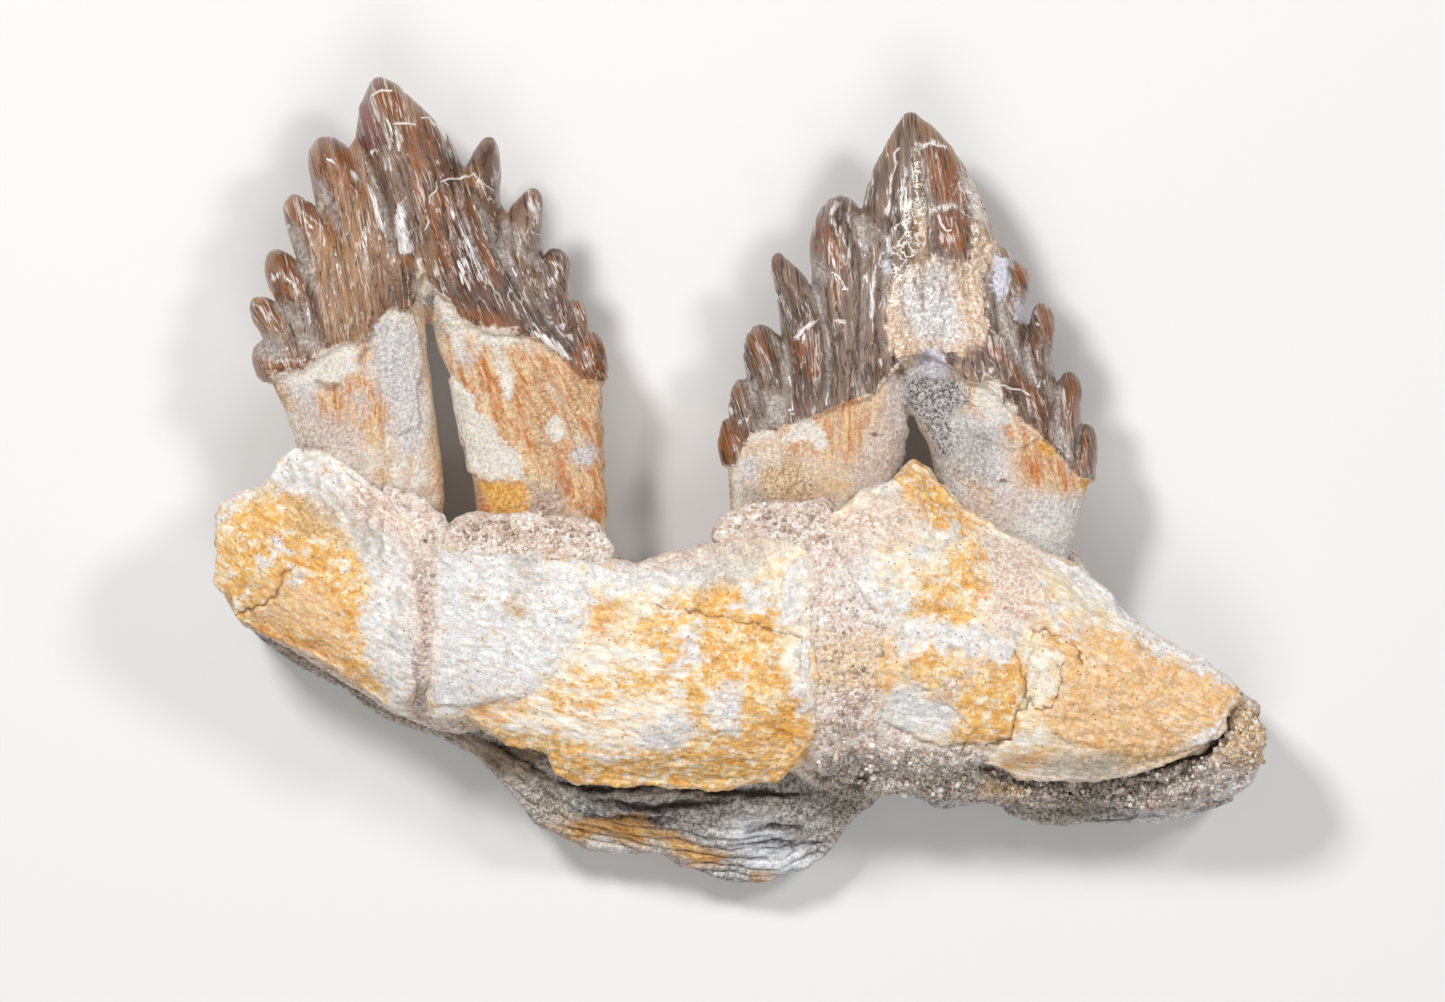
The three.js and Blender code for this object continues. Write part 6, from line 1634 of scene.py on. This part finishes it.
def bone_material():
    material, tree, shader = new_material("lime-crusted fossil bone")
    place = millimetre_place(tree)
    fibre_place = along_fibres(tree, place, 4)
    tint = two_toned(tree, mottle(tree, place, 4, 1, 8, 0.8), 0.08, "#F0D6A6", "#FFFAF0")
    tint = layered(tree, place, fibre_place, tint, [
        ("ochre", "#F2BC5E", "#FFEDB8", 14, 2.0, 4, 0.94),
        (("ochre", 0.2), "#E8962A", "#FBC668", 14, 0.9, 4.5, 0.75),
        (("ochre", -0.5), "#DC8E2C", "#F6B858", 14, 0.7, -1.8, 0.6),
        (("ochre", -0.9), "#BC6C24", "#E8A650", 14, 0.7, 1.5, 0.7),
        (("ochre", -0.9), "#FFEFC8", "#FFFFFA", 14, 0.7, 2.6, 0.88),
        ("tan", "#E9B67E", "#FFDDB4", 14, 2.4, 1.8, 0.6),
        (("pale", 0.3), "#FFEACB", "#FFFFFA", 16, 0.7, -3.4, 0.9),
        ("deep", "#D07E22", "#F6BE5C", 13, 1.6, -2.0, 0.8),
        ("chalk", "#DDD6CC", "#FDFCFC", 17, 1.2, 3, 0.97),
        (("chalk", -0.7), "#B9C2CC", "#ECEFF2", 12, 0.8, 2.4, 0.55),
        (("chalk", -1.3), "#C58648", "#F4D0A0", 12, 0.6, 1.8, 0.8),
        (-1.4, "#EEE2D0", "#FDFBF6", 14, 0.8, 1.8, 0.8),
        (-1.7, "#DB963E", "#F4CC8A", 14, 0.7, -1.6, 0.7),
        ("bluish", "#CFCDCC", "#F8F8F8", 10, 1.6, 2, 0.8),
        ("mauve", "#CCA890", "#FBEEE2", 15, 2.0, 1.5, 0.88),
        ("brown", "#A67C46", "#E6C898", 13, 1.8, 1.5, 0.75),
        ("grey", "#A39A8E", "#E2DCD4", 12, 1.6, 1.6, 0.6),
        ("crack", "#6E5236", "#A27E56", 1.2, 0.12, 0.8, 0.8),
    ])
    tint = shaded(tree, tint, mottle(tree, fibre_place, 0.8, 30, 5, 0.8), 0.64, 1.27)
    pores, pinholes = specks(tree, place, 1.6, 0.26, 0.5, 0.85), specks(tree, place, 0.9, 0.2, 0.35, 0.6)
    tint = coated(tree, tint, (pores, "#6A482C"), (pinholes, "#8A7460"))
    shader.inputs["Roughness"].default_value = BONE_ROUGHNESS
    shader.inputs["IOR"].default_value = BONE_INDEX
    pits = mottle(tree, place, 1.4, 31, 9, 0.72)
    splits = mottle(tree, fibre_place, 1.2, 32, 7, 0.68)
    height = add_node(tree, "Mix", {0: 0.45, 2: pits, 3: splits})
    return finish_surface(material, tint, height, 0.6)


# %% Dress the outer bone
bone_surface = bone_material()
for seed, name in enumerate(OUTER_BONES):
    points, quads = skins[name]
    moved, crack = outer_bone_relief(points, quads, 300 + 20 * seed)
    fields = jaw_fields(points, crack, 400)
    finished_piece(name + "_skin", name, moved, quads, fields, bone_surface)


# %% [markdown]
# The sandstone is sea-floor sand cemented with phosphate: rounded grains from a few tenths to about
# two millimetres, mauve-grey as a mass, each grain a different tone. It fills what the bone left open,
# so its skin is swelled by a fraction of a millimetre to meet the bone, as the real grains do.

# %% Relief of the sandstone
def sandstone_relief(points, quads, seed):
    normals = normals_of(points, quads)
    rubbly = step(patches(points, stone_marks["rubble"] + stone_marks["gold"], 1.5, seed + 4), -2, 1)
    lift = (0.35 + 0.3 * rubbly) * roughness(points, 9, 4, seed)
    lift += (0.4 + 1.1 * rubbly) * grains(points, 2.6, seed + 1)
    lift += (0.4 + 0.5 * rubbly) * grains(points, 1.5, seed + 2) - 0.45 - 0.3 * rubbly
    lift -= 1.3 * rubbly * step(roughness(points, 3.2, 2, seed + 5), 0.0, 0.3)
    lift -= 1.4 * step(patches(points, stone_marks["shade"], 1.2, seed + 3), -0.5, 1.0)
    return points + normals * lift[:, None]


# %% Sandstone
def sandstone_material():
    material, tree, shader = new_material("cemented mauve sand")
    place = millimetre_place(tree)
    tint = two_toned(tree, mottle(tree, place, 2.4, 1, 8, 0.8), 0.08, "#CFAE98", "#FFF6EE")
    tint = layered(tree, place, place, tint, [
        ("ochre", "#E0AA66", "#FCE6BC", 15, 1.8, 2.4, 0.8),
        ("chalk", "#E6DACE", "#FFFDF8", 15, 1.6, 2.4, 0.85),
        (-1.2, "#EADCD0", "#FFFEFA", 14, 0.8, 1.5, 0.8),
        ("rubble", "#3E322A", "#F8EDE0", 11, 2.0, 1.8, 0.9),
        # Near-black gaps between the crumbs: painted shade.
        (("rubble", -1.0), "#16110D", "#43372C", 12, 0.4, 1.0, 0.9),
        (("rubble", -1.1), "#EFE2D2", "#FFFFFF", 12, 0.4, 1.2, 0.9),
        ("gold", "#BC8640", "#FBE0AE", 11, 1.4, 1.6, 0.88),
        # Dark gaps in the gold rubble: painted shade.
        (("gold", -1.0), "#33210F", "#7C5C3A", 12, 0.4, 1.1, 0.9),
        ("sheet", "#A8A39C", "#F2EFEC", 9, 1.0, 1.6, 0.85),
        ("clay", "#8E7064", "#DCC2B6", 9, 1.6, 1.6, 0.85),
        ("shade", "#251D17", "#6A5B4C", 7, 1.0, 1.2, 0.9),
    ])
    tint = shaded(tree, tint, mottle(tree, place, 0.7, 5, 5, 0.8), 0.54, 1.4)
    # Grains of a few tenths are too fine to show, so they are drawn 0.8 mm wide, each with its own tone.
    near = add_node(tree, "TexVoronoi", {"Vector": place, "Scale": 1 / 0.8}, "Distance")
    pick = add_node(tree, "SeparateColor", {0: near.node.outputs["Color"]})
    tones = add_node(tree, "ValToRGB", {0: pick})
    stops = tones.node.color_ramp.elements
    stops[0].color, stops[1].color = colour("#6C5A4C"), colour("#FFFBF4")
    stops.new(0.45).color = colour("#DAC6B6")
    share = add_node(tree, "MapRange", {0: pick.node.outputs[1], 1: 0.4, 2: 0.8, 3: 0.0, 4: 0.6})
    tint = coated(tree, tint, (share, tones))
    shader.inputs["Roughness"].default_value = MATT_ROUGHNESS
    dome = add_node(tree, "Math", {0: 1.0, 1: near}, operation="SUBTRACT")
    height = add_node(tree, "Mix", {0: 0.5, 2: dome, 3: mottle(tree, place, 1.0, 4, 8, 0.72)})
    return finish_surface(material, tint, height, 0.6)


# %% Dress the sandstone
stone_marks = {
    "rubble": [
        [(18, -60), (56, -60), (56, -72), (18, -70)], [(56, -62), (104, -60), (104, -72), (56, -72)],
        [(20, -66), (28, -66), (28, -80), (20, -80)],
    ],
    "gold": [[(104, -47), (115, -50), (116, -62), (104, -61)], (3.6, [(53, -67.2), (58, -67), (64.6, -68.8)])],
    "sheet": [[(101, -64), (114, -62), (115, -70), (98, -73)]],
    "clay": [(4.6, [(-68.6, -17), (-68.8, -24), (-68.4, -30)]), (3.4, [(-69, -30), (-69.6, -42), (-69.6, -52)])],
    "shade": [
        (3.2, [(50, -61.2), (57.5, -64.1), (64.2, -66.2), (73.5, -66.7), (83.5, -65.7), (93.5, -62.3), (100.2, -60.3),
         (105.4, -55.6), (107, -50)]),
        (2.6, [(66, -68.8), (72, -69.4), (80, -69.6), (90, -67.6), (100, -63.6)]),
        (1.8, [(58, -71.4), (70, -72.6), (84, -72)]), (2.4, [(17, -64), (24, -67), (30, -66)]),
        (1.4, [(24, -70), (30, -74)]),
    ],
}
points, quads = skins["matrix"]
stone_points = sandstone_relief(points, quads, 500)
fields = jaw_fields(points, np.full(len(points), FAR), 400)
fields.update({name: patches(points, marks, 1.2, 31) for name, marks in stone_marks.items()})
stone_surface = sandstone_material()
finished_piece("matrix_skin", "matrix", stone_points, quads, fields, stone_surface)

# %% [markdown]
# The coarsest grains stand out of the stone like small pebbles, a half to two millimetres across. Each
# is one ball with eighty facets, squashed and turned at random, half sunk at a random point of the
# stone's upper side. They are joined in one mesh, and each ball carries its own tone, from brown
# phosphate to white quartz.

# %% One ball, and where the grains lie thickest
ball = bpy.data.meshes.new("ball")
builder = bmesh.new()
bmesh.ops.create_icosphere(builder, subdivisions=2, radius=1)
ball_points = np.array([tuple(v.co) for v in builder.verts])
ball_faces = np.array([[v.index for v in f.verts] for f in builder.faces])
builder.free()
bpy.data.meshes.remove(ball)

pebble_marks = [
    (11, [(-62, -13), (-50, -11), (-38, -12), (-29, -17)]), (3, [(-68, -20), (-68, -40)]),
    (5, [(22, -30), (24, -40), (24, -62)]),
    [(17, -58), (32, -58), (44, -60), (60, -66), (80, -68), (104, -61), (112, -64), (104, -72), (60, -72), (28, -80),
     (18, -70)],
    [(104, -48), (114, -52), (115, -62), (106, -66)], [(-4, 6), (17, 4), (20, -12), (-2, -12)],
]
print("ball:", len(ball_faces), "facets")

# %% Scatter the grains
GRAIN_COUNT = 1500


def scattered(points, normals, share, count, chance):
    """Points and normals picked at random where the share is high and the face looks up."""
    weight = share * step(normals[:, 2], 0.1, 0.5)
    picked = chance.choice(len(points), count, replace=False, p=weight / weight.sum())
    return points[picked], normals[picked]


chance = np.random.default_rng(7)
stone_normals = normals_of(stone_points, quads)
share = step(patches(stone_points, pebble_marks, 1.5, 71), -2, 1) + 0.04
grain_places, grain_normals = scattered(stone_points, stone_normals, share, GRAIN_COUNT, chance)
grain_sizes = 0.25 + 0.5 * chance.random(len(grain_places)) ** 3.0
turns = np.linalg.qr(chance.normal(size=(len(grain_places), 3, 3)))[0]
squash = 0.7 + 0.5 * chance.random((len(grain_places), 1, 3))
lumps = 1 + 0.16 * chance.normal(size=(len(grain_places), len(ball_points), 1)).clip(-2, 2)
grain_points = np.einsum("nij,nkj->nki", turns, ball_points[None] * squash * lumps) * grain_sizes[:, None, None]
grain_points += (grain_places + grain_normals * 0.4 * grain_sizes[:, None])[:, None]
grain_faces = ball_faces[None] + (np.arange(len(grain_places)) * len(ball_points))[:, None, None]
grain_tones = np.repeat(chance.random(len(grain_places)), len(ball_points))
print("loose grains:", len(grain_places), "with", grain_faces.size // 3, "triangles")

# %% Phosphate and quartz grains
GRAIN_ROUGHNESS = 0.6
QUARTZ_INDEX = 1.54


def grain_material():
    material, tree, shader = new_material("phosphate and quartz grains")
    own_tone = add_node(tree, "Attribute", {}, "Fac", attribute_name="tone")
    tones = add_node(tree, "ValToRGB", {0: own_tone})
    stops = tones.node.color_ramp.elements
    stops[0].color, stops[1].color = colour("#7A6656"), colour("#FFFCF6")
    for spot, text in ((0.15, "#A88E7C"), (0.5, "#D2BCA8"), (0.8, "#F0E2D0")):
        stops.new(spot).color = colour(text)
    place = millimetre_place(tree)
    dust = add_node(tree, "MapRange", {0: mottle(tree, place, 0.7, 2), 1: 0.4, 2: 0.65, 3: 0.0, 4: 0.4})
    shader.inputs["Roughness"].default_value = GRAIN_ROUGHNESS
    shader.inputs["IOR"].default_value = QUARTZ_INDEX
    return finish_surface(material, coated(tree, tones, (dust, "#F2E8DC")), mottle(tree, place, 0.5, 3), 0.25)


finished_piece("loose_grains", None, grain_points.reshape(-1, 3), grain_faces.reshape(-1, 3),
               {"tone": grain_tones}, grain_material())


# %% [markdown]
# The inner wall of the jaw shows only along the lower edge, below the fill. It is denser bone that
# split into sheets, so it looks like slate: grey-brown steps along the jaw with thin dark gaps, and
# scales of cool white where lime got between the sheets.

# %% Grain, stains and crevices of the ledge
ledge_grain = across_fibres([
    (-106, -30, -28), (-90, -42, -28), (-75, -50, -26), (-60, -60, -30), (-48, -70, -36), (-36, -76, -28),
    (-24, -76, -12), (-10, -82, -14),
    (-4, -72, -2), (4, -84, 6), (14, -78, 22), (24, -74, 28), (34, -68, 6), (50, -70, -4), (70, -74, -6),
    (90, -73, 4), (108, -68, 20),
    (0, -40, -4), (-60, -30, -24), (60, -40, -20), (100, -55, -20),
])
ledge_marks = {
    "ochre": [
        [(-22, -75.5), (-14, -77), (-9, -80.5), (-3, -82), (-4, -85), (-10, -84.5), (-16, -80)],
        (2.4, [(2, -86.6), (8, -87.4)]), [(-40, -74), (-20, -74), (-20, -80), (-36, -79)],
    ],
    "chalk": [
        (2.6, [(-33, -79.6), (-24, -82)]), [(88, -71), (102, -71), (102, -75), (88, -75)],
        (1.6, [(-30, -67.4), (-5, -68)]),
    ],
    "bluish": [[(-2, -74), (6, -74), (14, -80), (18, -83), (10, -88), (2, -84), (-2, -80)]],
    "brown": [
        (3, [(5, -74), (15, -79)]), (4, [(-108, -31), (-80, -48), (-60, -58)]),
        [(-62, -54), (-44, -60), (-44, -66), (-60, -64)],
    ],
    "rubble": [
        [(20, -64), (30, -64), (28, -80), (20, -80)], [(60, -69), (78, -69), (78, -76), (60, -76)],
        (2.5, [(-104, -35.5), (-80, -50), (-60, -60.4)]), (2.6, [(-30, -69), (-20, -69.6), (-10, -69), (-2, -68.6)]),
        [(-51, -65), (-38, -68), (-36, -75), (-44, -76)],
    ],
    "tan": [[(-41, -75.6), (-30, -76.4), (-22, -76), (-18, -80), (-24, -83), (-36, -80)]],
    # Bands along the crevices, the widest under the bone's overhanging edge: a real dip, painted dark as shadow.
    "crevice_shade": [
        (2.2, [(-40, -65.6), (-33, -67.4), (-21, -67.2), (-10, -67.6), (2, -68.4), (16, -68.6)]),
        (1.8, [(-34, -69.6), (-24, -71.6), (-18, -72.2), (-9, -71), (0, -69.8)]),
        (0.9, [(2, -77), (8, -76), (15, -76.6)]), (0.8, [(-2, -80.4), (8, -79.6), (18, -80)]),
        (0.6, [(-62, -54), (-50, -60), (-42, -64)]), (0.8, [(-38, -72.6), (-28, -74.6), (-14, -74.8)]),
    ],
}
print("patches on the ledge:", {name: len(marks) for name, marks in ledge_marks.items()})

# %% Relief of the inner bone
SHEET_SPACING = 2.2


def layered_relief(points, quads, seed):
    normals = normals_of(points, quads)
    fp = fibre_points(points, ledge_grain, 8)
    sheets = fp[:, 0] + 0.6 * points[:, 2] + 1.4 * roughness(points, 12, 3, seed)
    treads = np.abs(((sheets / SHEET_SPACING) % 1) - 0.5) * 2
    lift = 0.9 * roughness(points, 10, 5, seed + 1) + 0.6 * step(treads, 0.1, 0.5) - 0.3
    lift += 0.4 * roughness(fp, 1.8, 2, seed + 2)
    crack = 1 - (np.abs(noise(fp, 3.4, seed + 3)) * 8).clip(0, 1)
    crack *= step(roughness(points, 8, 2, seed + 4), -0.2, 0.3)
    crumbs = step(patches(points, ledge_marks["rubble"], 1.2, seed + 5), -1, 1)
    lift += crumbs * (0.9 * grains(points, 2.2, seed + 6) - 0.2) - 0.7 * crack
    lift -= 1.5 * step(patches(points, ledge_marks["crevice_shade"], 1.0, seed + 7), -0.4, 0.8)
    moved = points + normals * lift[:, None]
    moved[:, 2] = moved[:, 2].clip(0, None)
    return moved


# %% Inner bone
INNER_ROUGHNESS = 0.84


def inner_bone_material():
    material, tree, shader = new_material("split inner bone")
    place = millimetre_place(tree)
    fibre_place = along_fibres(tree, place, 8)
    tint = two_toned(tree, mottle(tree, place, 1.2, 1, 7, 0.8), 0.08, "#74706C", "#EEEAE4")
    tint = layered(tree, place, fibre_place, tint, [
        (-0.9, "#9A9088", "#EEE8E0", 13, 0.8, -1.6, 0.75),
        ("tan", "#A98A6A", "#EBD6BC", 10, 1.6, -1.6, 0.85),
        ("brown", "#7A6652", "#CDB698", 11, 1.4, -1.8, 0.7),
        ("ochre", "#BE7818", "#F6CC88", 9, 1.2, -1.8, 0.92),
        ("bluish", "#C4C6CE", "#FFFFFF", 9, 1.4, -1.4, 0.95),
        ("chalk", "#DCD6D2", "#FFFEFC", 8, 0.9, 2, 0.9),
        ("rubble", "#706254", "#F0E6D8", 10, 1.4, 1.3, 0.88),
        (-2.2, "#2E2822", "#4E443A", 14, 0.5, -0.9, 0.8),
        # The hollows are painted darker: painted shade.
        ("hollow", "#2A221C", "#5A4E44", 1.6, 0.5, 0.8, 0.5),
        # The crevices are painted in shadow colours.
        ("crevice_shade", "#1C1611", "#463A30", 2.5, 0.5, 0.9, 0.95),
    ])
    tint = shaded(tree, tint, mottle(tree, place, 0.7, 30, 5, 0.8), 0.58, 1.6)
    shader.inputs["Roughness"].default_value = INNER_ROUGHNESS
    sheets, crumbs = mottle(tree, fibre_place, 0.9, 20, 6, 0.74), mottle(tree, place, 0.9, 21, 6, 0.8)
    height = add_node(tree, "Mix", {0: 0.6, 2: sheets, 3: crumbs})
    return finish_surface(material, tint, height, 0.9)


points, quads = skins["inner_bone"]
moved = layered_relief(points, quads, 600)
fields = mark_fields(points, ledge_marks, 1.0, 60)
fields["fibre"] = ledge_grain(points)
# How deep each point lies, so that the hollows can be painted with shade.
fields["hollow"] = hollowness(moved, quads, normals_of(points, quads), 10) * 4 - 1
finished_piece("inner_bone_skin", "inner_bone", moved, quads, fields, inner_bone_material())
